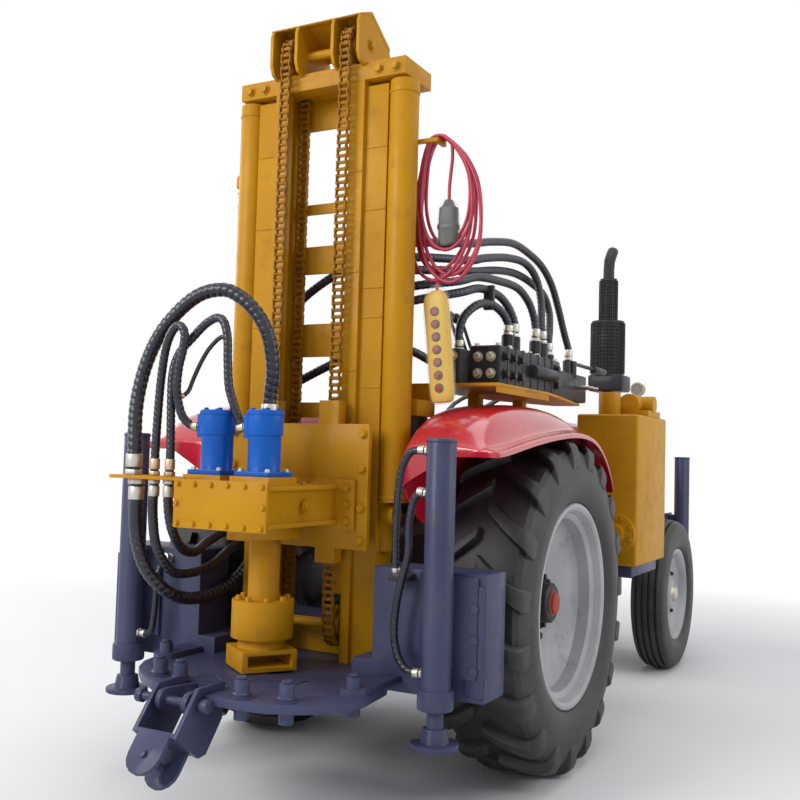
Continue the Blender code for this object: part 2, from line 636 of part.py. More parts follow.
def side_tank():
    tank = span(TANK_X, TANK_Y, TANK_Z, 0.008)
    flange = rod(0.095, TANK_Y[0] - 0.018, TANK_Y[0] + 0.01, "Y", (0.726, 0.905), 24)
    hub = rod(0.045, TANK_Y[0] - 0.045, TANK_Y[0], "Y", (0.726, 0.905), 16)
    finish(fuse(tank, flange, hub), "side_tank", "yellow_paint")
    shelf = span((0.24, TANK_X[1] - 0.03), (TANK_Y[0] + 0.03, TANK_Y[1] - 0.06),
                 (TANK_Z[0] - 0.055, TANK_Z[0] - GAP))
    arm = span((GEARBOX_X + GAP, TANK_X[0] - GAP), (TANK_Y[0] + 0.03, TANK_Y[0] + 0.09), (0.62, TANK_Z[0] + 0.06))
    bracket = fuse(shelf, arm)
    finish(bracket, "tank_bracket", "slate_paint")

    top = TANK_Z[1] + GAP
    body = rod(0.052, 1.06, 1.30, "Y", (0.72, top + 0.062), 14)
    barrel = rod(0.045, 0.60, TANK_X[1] - 0.004, "X", (1.18, top + 0.062), 12)
    foot = span((0.62, 0.82), (1.06, 1.30), (top, top + 0.03))
    pot = rod(0.055, top, top + 0.115, "Z", (0.64, 1.00), 14)
    gauge = rod(0.012, top + 0.06, top + 0.125, "Z", (0.72, 1.24), 8)
    dial = rod(0.034, 1.222, 1.258, "Y", (0.72, top + 0.148), 14)
    link = rod(0.022, 1.00, 1.10, "Y", (0.66, top + 0.05), 8)
    finish(fuse(body, barrel, foot, pot, gauge, dial, link), "tank_pump", "yellow_paint")


# Frame under the rig

def rear_frame():
    beams = [span(both(side, *REAR_BEAM_X), (FRAME_REAR, 0.60), REAR_BEAM_Z) for side in (-1, 1)]
    boxes = [span(both(side, REAR_BEAM_X[1] - 0.01, OUTRIGGER_X), (FRAME_REAR, OUTRIGGER_FRONT), OUTRIGGER_Z)
             for side in (-1, 1)]
    cross = span((-0.38, 0.38), (MAST_FRONT + GAP, -0.42), (0.43, 0.62))
    hanger = [span(both(side, *REAR_BEAM_X), (-0.08, 0.08),
                   (REAR_BEAM_Z[1] - 0.01, REAR_TYRE_R - AXLE_TUBE_R - GAP)) for side in (-1, 1)]
    yoke = span((-0.36, 0.36), (0.34, 0.46), (0.43, 0.54 - GAP))
    finish(fuse(beams[0], beams[1], cross, yoke, *boxes, *hanger), "rear_frame", "slate_paint")


def platform():
    """A plate with a notch for the clamp, two arms that lie on it, its pegs, and the clamp's eyes and pin."""
    low = PLATFORM_TOP - PLATFORM_T
    edge = REAR_BEAM_X[0] - GAP
    outline = [(-edge, MAST_FRONT), (-edge, FRAME_REAR - GAP), *PLATFORM_EDGE, (edge, FRAME_REAR - GAP),
               (edge, MAST_FRONT)]
    plate = sheet(outline, PLATFORM_T, "Z", low)
    pin_y, pin_z = CLAMP_PIN
    reach = CLAMP_HALF + CLAMP_WALL / 2 + RUN
    back = pin_y + CLAMP_SWEEP + RUN
    notch = span((CLAMP_X - reach, CLAMP_X + reach), (back - 0.5, back), (low - 0.1, PLATFORM_TOP + 0.1))
    pad = sheet(arc((0.07, -1.06), 0.17, 180, 360, 13), 0.006, "Z", PLATFORM_TOP - 0.002)
    arms = [sheet([(x - 0.046, FRAME_REAR - GAP), *arc((x, y), 0.046, 180, 360, 7), (x + 0.046, FRAME_REAR - GAP)],
                  0.022, "Z", PLATFORM_TOP - 0.002) for x, y in (PEGS[0], PEGS[-1])]
    pegs = [rod(PEG_R, low - 0.04, PLATFORM_TOP + PEG_H, "Z", place, 12) for place in PEGS]
    eyes = [sheet([*arc(CLAMP_PIN, 0.036, 90, 270, 7), (back + 0.012, low - 0.02), (back + 0.012, PLATFORM_TOP - 0.003)],
                  0.02, "X", x - 0.01) for x in (CLAMP_X - 0.052, CLAMP_X + 0.052)]
    pin = rod(0.014, CLAMP_X - 0.155, CLAMP_X + 0.110, "X", CLAMP_PIN, 14)
    heads = [rod(0.022, x - 0.012, x + 0.012, "X", CLAMP_PIN, 14) for x in (CLAMP_X - 0.15, CLAMP_X + 0.115)]
    finish(fuse(cut(plate, notch), pad, pin, *arms, *pegs, *eyes, *heads), "platform", "slate_paint")


def clamp():
    """A bracket that hangs from the platform's pin, with a clevis under it. It is made upright and leant back."""
    y, z = CLAMP_PIN
    back = y - CLAMP_BACK
    outline = [(back, z + 0.037), (back, z - 0.125), (y + 0.105, z - 0.125), (y + 0.13, z - 0.10),
               (y + 0.13, z + 0.02), (y + 0.068, z + 0.118)]
    cheeks = [sheet(outline, CLAMP_WALL, "X", CLAMP_X + side * CLAMP_HALF - CLAMP_WALL / 2) for side in (-1, 1)]
    web = span((CLAMP_X - CLAMP_HALF, CLAMP_X + CLAMP_HALF), (back + 0.001, y + 0.10), (z - 0.124, z - 0.110))
    end = (CLAMP_X, z - CLAMP_DROP + CLEVIS_R)
    plates = [sheet([(CLAMP_X + CLEVIS_R, z - 0.115), (CLAMP_X - CLEVIS_R, z - 0.115), *arc(end, CLEVIS_R, 180, 360, 9)],
                    CLAMP_WALL, "Y", start) for start in (back, back + 0.106)]
    rung = rod(0.012, back - 0.012, back + 0.132, "Y", end, 12)
    hole = rod(0.0148, CLAMP_X - 0.2, CLAMP_X + 0.2, "X", CLAMP_PIN, 14)
    bracket = cut(fuse(cheeks[0], cheeks[1], web, rung, *plates), hole)
    turn(bracket, -math.degrees(CLAMP_LEAN), "X", (0, y, z))
    finish(bracket, "clamp_bracket", "slate_paint", (CLAMP_X, y, z))


def jack(place, name, top, inboard):
    """A barrel with its welded side plate, and the rod and foot that slide out of it."""
    x, y = place
    barrel = rod(JACK_R, JACK_BOTTOM + 0.062, top, "Z", place, JACK_SIDES)
    gland = rod(JACK_R + 0.008, JACK_BOTTOM, JACK_BOTTOM + 0.065, "Z", place, JACK_SIDES)
    bore = rod(JACK_BORE, JACK_BOTTOM - 0.05, top - 0.06, "Z", place, 12)
    plate = inboard(x, y)
    finish(cut(fuse(barrel, gland, plate), bore), "jack_barrel_" + name, "slate_paint")
    leg = rod(JACK_ROD_R, JACK_FOOT_Z + 0.02, JACK_BOTTOM + JACK_STROKE + 0.15, "Z", place, 12)
    boss = rod(0.048, JACK_FOOT_Z + 0.010, JACK_FOOT_Z + 0.058, "Z", place, 14, 0.040)
    disc = rod(JACK_FOOT_R, JACK_FOOT_Z - 0.006, JACK_FOOT_Z + 0.012, "Z", place, 20)
    finish(fuse(leg, boss, disc), "jack_foot_" + name, "slate_paint", (x, y, JACK_FOOT_Z))


def jacks():
    rear_face = FRAME_REAR - GAP

    def rear_web(x, y):
        side = math.copysign(1, x)
        plate = span(both(side, abs(x) - 0.095, abs(x) + 0.115), (rear_face - 0.014, rear_face), (0.53, 0.86))
        return fuse(plate, span((x - 0.03, x + 0.03), (y, rear_face - 0.007), (0.56, 0.84)))

    def front_web(x, y):
        side = math.copysign(1, x)
        return span(both(side, FRONT_BEAM_X + GAP, abs(x)), (y - 0.03, y + 0.03),
                    (FRONT_RAIL_Z[0] - 0.06, FRONT_RAIL_Z[1] + 0.06))

    for side, word in ((-1, "left"), (1, "right")):
        jack((side * REAR_JACK[0], REAR_JACK[1]), "rear_" + word, JACK_TOP, rear_web)
        jack((side * FRONT_JACK[0], FRONT_JACK[1]), "front_" + word, JACK_TOP - 0.02, front_web)


FRONT_BEAM_X = FRONT_JACK[0] - 0.08


def front_frame():
    low, high = FRONT_RAIL_Z
    rails = [span((min(side * RAIL_X[0], side * RAIL_X[1]), max(side * RAIL_X[0], side * RAIL_X[1])),
                  (ENGINE_Y[0] + 0.02, 3.02), (low, high)) for side in (-1, 1)]
    beam = span((-FRONT_BEAM_X, FRONT_BEAM_X), (2.88, 3.02), (low, high))
    seat = span((-RAIL_X[0] - 0.01, RAIL_X[0] + 0.01), (WHEELBASE - 0.09, WHEELBASE + 0.09), (low, low + RAIL_SEAT_T))
    ends = [span((min(side * 0.47, side * FRONT_BEAM_X), max(side * 0.47, side * FRONT_BEAM_X)),
                 (FRONT_JACK[1] - BEAM_HALF, FRONT_JACK[1] + BEAM_HALF), (low - 0.07, high + 0.07)) for side in (-1, 1)]
    finish(fuse(beam, seat, *rails, *ends), "front_frame", "slate_paint")


# Mast

def both(side, a, b):
    """Limits along X of a piece that stands from a to b out from the middle."""
    return (min(side * a, side * b), max(side * a, side * b))


def mast():
    """Two columns, each a channelled inner rail, a panel and a round post, tied by cross plates."""
    columns = []
    for side in (-1, 1):
        rail = span(both(side, RAIL_IN, RAIL_OUT + 0.002), (MAST_REAR, MAST_FRONT), (MAST_FOOT, MAST_TOP))
        groove = span(both(side, RAIL_IN - 0.01, GROOVE_X), (MAST_REAR + 0.03, MAST_FRONT - 0.018),
                      (MAST_FOOT - 0.1, MAST_TOP + 0.1))
        notch = span(both(side, RAIL_IN - 0.01, CHAIN_X + CHAIN_W / 2 + RUN), (MAST_REAR - 0.1, MAST_FRONT - 0.018),
                     (MAST_FOOT - 0.1, SPROCKET_LOW_Z + 0.12))
        panel = span(both(side, RAIL_OUT, PANEL_OUT), (MAST_REAR + 0.02, MAST_FRONT - 0.01),
                     (MAST_FOOT, MAST_TOP - 0.02))
        post = rod(POST_R, POST_FOOT, MAST_TOP - 0.012, "Z", (side * POST_X, POST_Y), 20)
        eye = rod(0.040, side * 0.335 - 0.02, side * 0.335 + 0.02, "X", (-0.685, 1.035), 18)
        web = span(both(side, PANEL_OUT - 0.01, 0.325), (-0.70, -0.64), (0.90, POST_FOOT + 0.04))
        columns.append(fuse(cut(rail, groove, notch), panel, post, eye, web))
    ties = [span((-RAIL_IN - 0.01, RAIL_IN + 0.01), (MAST_FRONT - 0.016, MAST_FRONT - 0.004), limits)
            for limits in CROSS_PLATES]
    shaft = rod(SHAFT_R, -RAIL_OUT, RAIL_OUT, "X", (SPROCKET_Y, SPROCKET_LOW_Z), 16)
    x, y, z = GOOSENECK
    neck = span((x - 0.028, -POST_X), (y - 0.028, y + 0.028), (z + GAP, z + 0.06), 0.01)
    x, y, z = HANK_HOOK
    hook = fuse(span((POST_X, x + 0.008), (y - 0.045, y - 0.029), (z - 0.0155, z - 0.0005)),
                span((x - 0.008, x + 0.008), (y - 0.031, y + 0.032), (z - 0.016, z)),
                span((x - 0.008, x + 0.008), (y + 0.022, y + 0.032), (z - 0.001, z + 0.03)))
    finish(fuse(columns[0], columns[1], shaft, neck, hook, *ties), "mast", "yellow_paint")


def crown():
    base = span((-CROWN_X, CROWN_X), CROWN_Y, (MAST_TOP + GAP, MAST_TOP + CROWN_T))
    top = MAST_TOP + CROWN_T
    base = cut(base, *[span((x - CHAIN_W / 2 - RUN, x + CHAIN_W / 2 + RUN),
                            (RETURN_Y - CHAIN_T / 2 - RUN, RETURN_Y + CHAIN_T / 2 + RUN),
                            (MAST_TOP - 0.1, top + 0.1)) for x in (-CHAIN_X, CHAIN_X)])
    drop = [(-0.80, 0.175), (-0.785, 0.208)], [(-0.555, 0.14), (-0.575, 0.095), (-0.715, 0.006), (-0.79, 0.035), (-0.80, 0.06)]
    lower, upper = [[(y, CROWN_APEX - z) for y, z in part] for part in drop]
    cheek = [*lower, (-0.755, top - 0.012), (-0.555, top - 0.012), *upper]
    plates = [sheet(cheek, 0.014, "X", x - 0.007) for x in (-0.196, -0.082, 0.082, 0.196)]
    roof = sheet([(y, CROWN_APEX - z) for y, z in (
        (-0.79, 0.039), (-0.715, 0.012), (-0.575, 0.107), (-0.57, 0.09), (-0.715, 0.0), (-0.795, 0.035))], 0.41, "X", -0.205)
    shaft = rod(SHAFT_R, -0.203, 0.203, "X", (SPROCKET_Y, SPROCKET_TOP_Z), 16)
    finish(fuse(base, shaft, roof, *plates), "crown", "yellow_paint")


def chains():
    """Each chain is a loop over a top and a bottom sprocket; the sprockets are one with it."""
    radius = SPROCKET_Y - CHAIN_Y
    outer, inner = radius + CHAIN_T / 2, radius - CHAIN_T / 2
    for side, word in ((-1, "left"), (1, "right")):
        x0 = side * CHAIN_X - CHAIN_W / 2
        loop = sheet([*arc((SPROCKET_Y, SPROCKET_TOP_Z), outer, 0, 180, 9),
                      *arc((SPROCKET_Y, SPROCKET_LOW_Z), outer, 180, 360, 9)], CHAIN_W, "X", x0)
        hole = sheet([*arc((SPROCKET_Y, SPROCKET_TOP_Z), inner, 0, 180, 9),
                      *arc((SPROCKET_Y, SPROCKET_LOW_Z), inner, 180, 360, 9)], CHAIN_W + 0.1, "X", x0 - 0.05)
        loop = cut(loop, hole)
        wheels = [turned([(-CHAIN_W / 2 + 0.004, inner + 0.004), (-CHAIN_W / 2 + 0.004, SHAFT_R + 0.0008),
                          (CHAIN_W / 2 - 0.004, SHAFT_R + 0.0008), (CHAIN_W / 2 - 0.004, inner + 0.004)],
                         "X", (side * CHAIN_X, SPROCKET_Y, z), 14) for z in (SPROCKET_TOP_Z, SPROCKET_LOW_Z)]
        finish(fuse(loop, *wheels), "chain_" + word, "yellow_paint")


# Carriage and drill head

def carriage():
    rear = CHAIN_Y - CHAIN_T / 2 - RUN - CARRIAGE_T
    front = rear + CARRIAGE_T
    low, high = CARRIAGE_Z
    plate = span((-CARRIAGE_X, CARRIAGE_X), (rear, front), (low, high))
    shoe = (MAST_REAR + 0.0305, RETURN_Y - CHAIN_T / 2 - RUN)
    guides = [span((-0.10, 0.10), (front - 0.004, shoe[1]), (low + 0.05, high - 0.05)),
              *[span((-GROOVE_X + 0.0006, GROOVE_X - 0.0006), shoe, (z, z + 0.10)) for z in (low + 0.05, high - 0.15)]]
    anchors = []
    for side in (-1, 1):
        for bottom, top in ((high - 0.04, high + 0.085), (low - 0.055, low + 0.03)):
            x = side * CHAIN_X
            block = span((x - 0.042, x + 0.042), (rear + 0.002, CHAIN_Y + 0.014), (bottom, top))
            slot = span((x - CHAIN_W / 2 - RUN, x + CHAIN_W / 2 + RUN), (front - 0.0, CHAIN_Y + 0.1), (bottom - 0.1, top + 0.1))
            anchors.append(cut(block, slot))
    finish(fuse(plate, *guides, *anchors), "carriage", "yellow_paint")
    return rear


def drill_head(carriage_rear):
    seat = carriage_rear - GAP
    low, high = HEAD_Z
    box = span((-HEAD_X, HEAD_X), (HEAD_REAR, seat), (low, high))
    cover = span((-HEAD_X - 0.006, HEAD_X + 0.006), (HEAD_REAR - 0.012, HEAD_REAR + 0.002), (low - 0.012, high + 0.012))
    flange = span((-0.265, 0.265), (seat - 0.016, seat), (low - 0.02, high + 0.02))
    ribs = [span((-HEAD_X - 0.012, HEAD_X + 0.012), (HEAD_REAR, seat), (z, z + 0.014)) for z in (low + 0.001, high - 0.015)]
    collar = rod(0.122, low - 0.050, low + 0.02, "Z", (0, SPINDLE_Y), 24)
    pads = [span((x - 0.08, x + 0.08), (MOTOR_Y - 0.08, MOTOR_Y + 0.08), (high - 0.01, high + PAD_H))
            for x in (-MOTOR_X, MOTOR_X)]
    wing = span((HOSE_PLATE_X, -MOTOR_X - 0.07), HOSE_PLATE_Y, (HOSE_PLATE_Z[0], HOSE_PLATE_Z[1]))
    bore = rod(0.0390, low - 0.06, low + 0.012, "Z", (0, SPINDLE_Y), 20)
    finish(cut(fuse(box, cover, flange, collar, wing, *ribs, *pads), bore), "gearbox", "yellow_paint")

    shaft = rod(SPINDLE_R, COUPLING_Z[1] - 0.01, low - 0.050 - 0.002, "Z", (0, SPINDLE_Y), 24)
    neck = rod(0.038, low - 0.06, low + 0.010, "Z", (0, SPINDLE_Y), 20)
    coupling = rod(COUPLING_R, COUPLING_Z[0], COUPLING_Z[1], "Z", (0, SPINDLE_Y), 28)
    waist = rod(COUPLING_R - 0.025, SLOT_BOX_Z[1] - 0.004, COUPLING_Z[0] + 0.01, "Z", (0, SPINDLE_Y), 20)
    bolts = [rod(0.012, COUPLING_Z[1] - 0.004, COUPLING_Z[1] + 0.014, "Z",
                 (0.085 * math.cos(a), SPINDLE_Y + 0.085 * math.sin(a)), 6)
             for a in [math.pi / 4 * i for i in range(8)]]
    box = span((-0.0985, 0.0985), (SPINDLE_Y - 0.094, SPINDLE_Y + 0.094), SLOT_BOX_Z)
    slot = span((-0.078, 0.078), (SPINDLE_Y - 0.2, SPINDLE_Y + 0.2), (SLOT_BOX_Z[0] + 0.017, SLOT_BOX_Z[1] - 0.015))
    foot = turn(cut(box, slot), 55, "Z", (0, SPINDLE_Y, 0))
    finish(fuse(shaft, neck, coupling, waist, foot, *bolts), "spindle", "yellow_paint", (0, SPINDLE_Y, SLOT_BOX_Z[0]))

    for x, word in ((-MOTOR_X, "left"), (MOTOR_X, "right")):
        base = high + PAD_H + GAP
        flange = span((x - 0.070, x + 0.070), (MOTOR_Y - 0.070, MOTOR_Y + 0.070), (base, base + 0.016))
        case = rod(MOTOR_R, base + 0.01, MOTOR_TOP - 0.02, "Z", (x, MOTOR_Y), 24)
        crown_ring = rod(MOTOR_R + 0.006, MOTOR_TOP - 0.085, MOTOR_TOP, "Z", (x, MOTOR_Y), 24)
        port = span((x - MOTOR_PORT, x - MOTOR_R + 0.02), (MOTOR_Y - 0.032, MOTOR_Y + 0.032), (PORT_Z - 0.04, PORT_Z + 0.04))
        finish(fuse(flange, case, crown_ring, port), "motor_" + word, "blue_paint")
    base = high + GAP
    swivel = fuse(rod(0.045, base, base + 0.16, "Z", (0.0, SPINDLE_Y), 20),
                  rod(0.032, base + 0.15, SWIVEL_TOP, "Z", (0.0, SPINDLE_Y), 16))
    finish(swivel, "water_swivel", "black_iron")


# Deck over the right fender, valves, pendant and cable

def deck():
    low = DECK_Z - DECK_T
    plate = sheet([(DECK_X[0], DECK_Y[0]), (DECK_X[1], DECK_Y[0]), (DECK_X[1], 0.05), (DECK_FRONT_X[1], DECK_Y[1]),
                   (DECK_FRONT_X[0], DECK_Y[1]), (DECK_X[0], 0.40)], DECK_T, "Z", low)
    lip = span((DECK_X[1] - 0.012, DECK_X[1] - 0.002), (DECK_Y[0] + 0.002, 0.045), (low - 0.024, low + 0.004))
    rear_leg = span((0.28, 0.40), (DECK_Y[0], DECK_Y[0] + PLATE), (1.40, low + 0.004))
    arm = span((PANEL_OUT + GAP, 0.40), (MAST_FRONT - 0.035, DECK_Y[0] + 0.01), (1.40, 1.46))
    legs = [span((0.35, 0.40), (y, y + 0.05), (1.04 + GAP, low + 0.004)) for y in (-0.08, 0.42)]
    finish(fuse(plate, lip, rear_leg, arm, *legs), "valve_deck", "yellow_paint")

    top = DECK_Z + GAP
    inner, outer = VALVE_X
    block = span(VALVE_X, (-0.34, 0.36), (top, VALVE_TOP), 0.006)
    small = span((inner + 0.01, 0.575), (0.34, 0.82), (top, VALVE_TOP - 0.03), 0.006)
    nuts = [rod(0.026, VALVE_TOP - 0.05, z, "Z", (x, y), 8) for (x, y, z) in ARCH_SEATS]
    side = span((0.39, inner + 0.01), (-0.44, -0.12), (top, VALVE_TOP - 0.02), 0.006)
    levers = [tube([(0.41, y, VALVE_TOP - 0.05), (0.36, y + 0.02, VALVE_TOP + 0.06), (0.33, y + 0.03, VALVE_TOP + 0.13)], 0.007)
              for y in (-0.26, -0.20, -0.14)]
    solenoid = rod(0.026, -0.03, 0.24, "Y", (outer + 0.018, DECK_Z + 0.085), 12)
    pillar = rod(0.018, VALVE_TOP - 0.05, DECK_Z + 0.19, "Z", (0.565, 0.64), 8)
    stem = rod(0.009, 0.62, 0.98, "Y", (0.565, DECK_Z + 0.18), 8)
    grip = rod(0.017, 0.95, 1.14, "Y", (0.565, DECK_Z + 0.18), 10)
    finish(fuse(block, small, side, solenoid, pillar, stem, grip, *nuts, *levers), "valve_bank", "black_iron")


# Hoses, the pendant and its cable

GOOSENECK = (-0.425, -0.645, 2.325)
HANK_HOOK = (0.462, -0.62, 2.428)
HANK_R = 0.012
ARCH_BLOCK_X = (0.165, 0.28)
ARCH_BLOCK_Z = (1.78, 2.10)
ARCH_SEATS = ((0.54, -0.115, 1.755), (0.54, -0.045, 1.755), (0.54, 0.20, 1.765), (0.54, 0.285, 1.765),
              (0.50, 0.48, 1.735), (0.50, 0.76, 1.735))
JACK_FACE = REAR_JACK[0] - JACK_R * math.cos(math.pi / JACK_SIDES) - GAP
PLATE_UP = HOSE_PLATE_Z[1] + GAP
PLATE_DOWN = HOSE_PLATE_Z[0] - GAP
LEFT_PORT_X = -MOTOR_X - MOTOR_PORT - GAP
RIGHT_PORT_X = MOTOR_X - MOTOR_PORT - GAP

# Each hose: diameter, sides, spacing of its points, and its route
HOSES = {
    "swivel": (0.050, 8, 0.115, (
        (-0.442, -1.2, PLATE_UP), (-0.442, -1.2, 1.25), (-0.459, -1.185, 1.37), (-0.46, -1.169, 1.472),
        (-0.438, -1.154, 1.58), (-0.394, -1.138, 1.677), (-0.316, -1.123, 1.762), (-0.236, -1.108, 1.813),
        (-0.149, -1.092, 1.824), (-0.088, -1.077, 1.797), (-0.039, -1.062, 1.752), (-0.003, -1.046, 1.695),
        (0.013, -1.031, 1.635), (0.016, -1.012, 1.54), (0.0, -1.0, 1.45), (0.0, -1.0, SWIVEL_TOP + GAP))),
    "motor_a": (0.030, 6, 0.05, (
        (-0.344, -1.2, PLATE_UP), (-0.344, -1.2, 1.25), (-0.338, -1.2, 1.40), (-0.326, -1.203, 1.52),
        (-0.305, -1.208, 1.615), (-0.272, -1.213, 1.67), (-0.24, -1.216, 1.683), (-0.218, -1.216, 1.655),
        (-0.222, -1.216, 1.60), (-0.24, -1.215, 1.53), (-0.249, -1.208, 1.45), (-0.244, -1.185, 1.375),
        (-0.222, -1.165, 1.34), (-0.19, MOTOR_Y, PORT_Z), (LEFT_PORT_X, MOTOR_Y, PORT_Z))),
    "motor_b": (0.030, 6, 0.05, (
        (-0.275, -1.2, PLATE_UP), (-0.275, -1.2, 1.25), (-0.285, -1.195, 1.42), (-0.289, -1.188, 1.52),
        (-0.27, -1.18, 1.59), (-0.215, -1.176, 1.645), (-0.16, -1.176, 1.69), (-0.112, -1.176, 1.71),
        (-0.078, -1.178, 1.695), (-0.058, -1.18, 1.64), (-0.053, -1.18, 1.56), (-0.045, -1.178, 1.47),
        (-0.024, -1.17, 1.40), (-0.01, -1.163, 1.36), (0.008, MOTOR_Y, PORT_Z), (RIGHT_PORT_X, MOTOR_Y, PORT_Z))),
    "motor_c": (0.016, 6, 0.055, (
        (-0.246, -1.20, 1.43), (-0.232, -1.17, 1.455), (-0.223, -1.155, 1.50), (-0.195, -1.15, 1.56),
        (-0.16, -1.148, 1.61), (-0.117, -1.146, 1.645), (-0.092, -1.148, 1.635), (-0.08, -1.155, 1.57),
        (-0.066, -1.165, 1.51), (-0.047, -1.178, 1.475))),
    "feed_a": (0.047, 8, 0.12, (
        (-0.425, -1.2, PLATE_DOWN), (-0.425, -1.2, 1.05), (-0.42, -1.195, 0.94), (-0.395, -1.165, 0.82),
        (-0.355, -1.08, 0.73), (-0.345, -0.95, 0.70), (-0.345, -0.80, 0.715), (-0.355, -0.67, 0.76),
        (-0.378, -0.56, 0.84), (-0.39, -0.505, 0.96), (-0.39, -0.50, 1.10), (-0.39, -0.50, 1.38),
        (-0.40, -0.54, 1.50), (-0.418, -0.62, 1.62), (-0.42, -0.645, 1.75), (-0.412, -0.645, 1.99),
        (-0.425, -0.645, 2.22), GOOSENECK)),
    "feed_b": (0.034, 6, 0.10, (
        (-0.344, -1.2, PLATE_DOWN), (-0.344, -1.2, 1.02), (-0.336, -1.18, 0.90), (-0.325, -1.11, 0.815),
        (-0.325, -1.0, 0.80), (-0.335, -0.87, 0.82), (-0.35, -0.75, 0.865), (-0.352, -0.66, 0.90),
        (-0.345, -0.585, 0.97), (-0.335, -0.565, 1.10), (-0.33, -0.565, 1.35), (-0.27, -0.56, 1.50),
        (-0.18, -0.557, 1.54), (-0.04, -0.557, 1.60), (0.10, -0.557, 1.65), (0.22, -0.55, 1.67),
        (0.30, -0.50, 1.655), (0.345, -0.43, 1.625), (0.37, -0.40, 1.62), (0.39 - GAP, -0.40, 1.62))),
    "feed_c": (0.034, 6, 0.10, (
        (-0.275, -1.2, PLATE_DOWN), (-0.275, -1.2, 1.06), (-0.28, -1.17, 0.97), (-0.295, -1.10, 0.90),
        (-0.32, -1.0, 0.875), (-0.36, -0.88, 0.90), (-0.388, -0.76, 0.925), (-0.39, -0.66, 0.945),
        (-0.388, -0.59, 1.0), (-0.385, -0.567, 1.10), (-0.38, -0.565, 1.42), (-0.34, -0.56, 1.62),
        (-0.27, -0.557, 1.77), (-0.18, -0.557, 1.87), (-0.05, -0.557, 1.95), (0.06, -0.557, 1.99),
        (0.13, -0.557, 2.0), (ARCH_BLOCK_X[0] - GAP, -0.557, 2.0))),
    "arch_a": (0.034, 6, 0.11, (
        (0.24, -0.557, 2.06), (0.32, -0.535, 2.07), (0.39, -0.42, 2.09), (0.42, -0.24, 2.12), (0.43, -0.05, 2.165),
        (0.44, 0.167, 2.20), (0.45, 0.347, 2.185), (0.46, 0.484, 2.15), (0.47, 0.59, 2.08), (0.48, 0.66, 1.98),
        (0.49, 0.72, 1.87), (0.50, 0.76, 1.79), (0.50, 0.76, 1.735 + GAP))),
    "arch_b": (0.034, 6, 0.10, (
        (0.24, -0.557, 2.005), (0.32, -0.53, 2.015), (0.39, -0.40, 2.03), (0.42, -0.239, 2.05), (0.438, -0.128, 2.08),
        (0.457, 0.058, 2.115), (0.475, 0.22, 2.12), (0.493, 0.315, 2.07), (0.512, 0.335, 1.97), (0.53, 0.30, 1.86),
        (0.54, 0.285, 1.81), (0.54, 0.285, 1.765 + GAP))),
    "arch_c": (0.034, 6, 0.10, (
        (0.24, -0.557, 1.95), (0.32, -0.53, 1.965), (0.40, -0.38, 1.985), (0.425, -0.238, 2.005), (0.431, 0.02, 2.055),
        (0.443, 0.202, 2.07), (0.454, 0.363, 2.055), (0.466, 0.49, 2.02), (0.477, 0.54, 1.95), (0.489, 0.52, 1.87),
        (0.50, 0.48, 1.80), (0.50, 0.48, 1.735 + GAP))),
    "arch_d": (0.034, 6, 0.10, (
        (0.24, -0.557, 1.885), (0.34, -0.53, 1.905), (0.45, -0.416, 1.934), (0.467, -0.279, 1.972),
        (0.483, -0.131, 1.985), (0.50, 0.064, 1.985), (0.517, 0.16, 1.94), (0.533, 0.195, 1.872), (0.54, 0.20, 1.81),
        (0.54, 0.20, 1.765 + GAP))),
    "arch_e": (0.034, 6, 0.09, (
        (0.24, -0.557, 1.825), (0.34, -0.53, 1.85), (0.45, -0.398, 1.892), (0.47, -0.254, 1.93), (0.49, -0.12, 1.925),
        (0.515, -0.065, 1.885), (0.535, -0.045, 1.83), (0.54, -0.045, 1.80), (0.54, -0.045, 1.755 + GAP))),
    "arch_f": (0.034, 6, 0.07, (
        (0.43, -0.35, VALVE_TOP - 0.02 + GAP), (0.43, -0.35, 1.75), (0.445, -0.335, 1.81), (0.475, -0.28, 1.86),
        (0.50, -0.21, 1.872), (0.525, -0.145, 1.845), (0.54, -0.115, 1.80), (0.54, -0.115, 1.755 + GAP))),
    "jack_low": (0.026, 6, 0.08, (
        (JACK_FACE, -0.955, 0.545), (0.585, -0.955, 0.545), (0.55, -0.955, 0.552), (0.517, -0.951, 0.59),
        (0.50, -0.949, 0.66), (0.507, -0.95, 0.76), (0.528, -0.953, 0.85), (0.548, -0.955, 0.93),
        (0.548, -0.955, 1.02), (0.562, -0.955, 1.10), (0.585, -0.955, 1.13), (JACK_FACE, -0.955, 1.13))),
    "jack_high": (0.026, 6, 0.08, (
        (JACK_FACE, -0.955, 1.27), (0.585, -0.955, 1.27), (0.545, -0.953, 1.262), (0.513, -0.947, 1.21),
        (0.498, -0.942, 1.13), (0.492, -0.938, 1.05), (0.487, -0.93, 0.95), (0.487, -0.925, 0.88),
        (0.487, -0.922, 0.845))),
    "jack_left": (0.026, 6, 0.08, (
        (-JACK_FACE, -0.955, 0.545), (-0.585, -0.955, 0.545), (-0.553, -0.955, 0.56), (-0.54, -0.955, 0.62),
        (-0.535, -0.955, 0.70), (-0.53, -0.95, 0.78), (-0.53, -0.92, 0.83), (-0.53, FRAME_REAR - GAP, 0.83))),
}


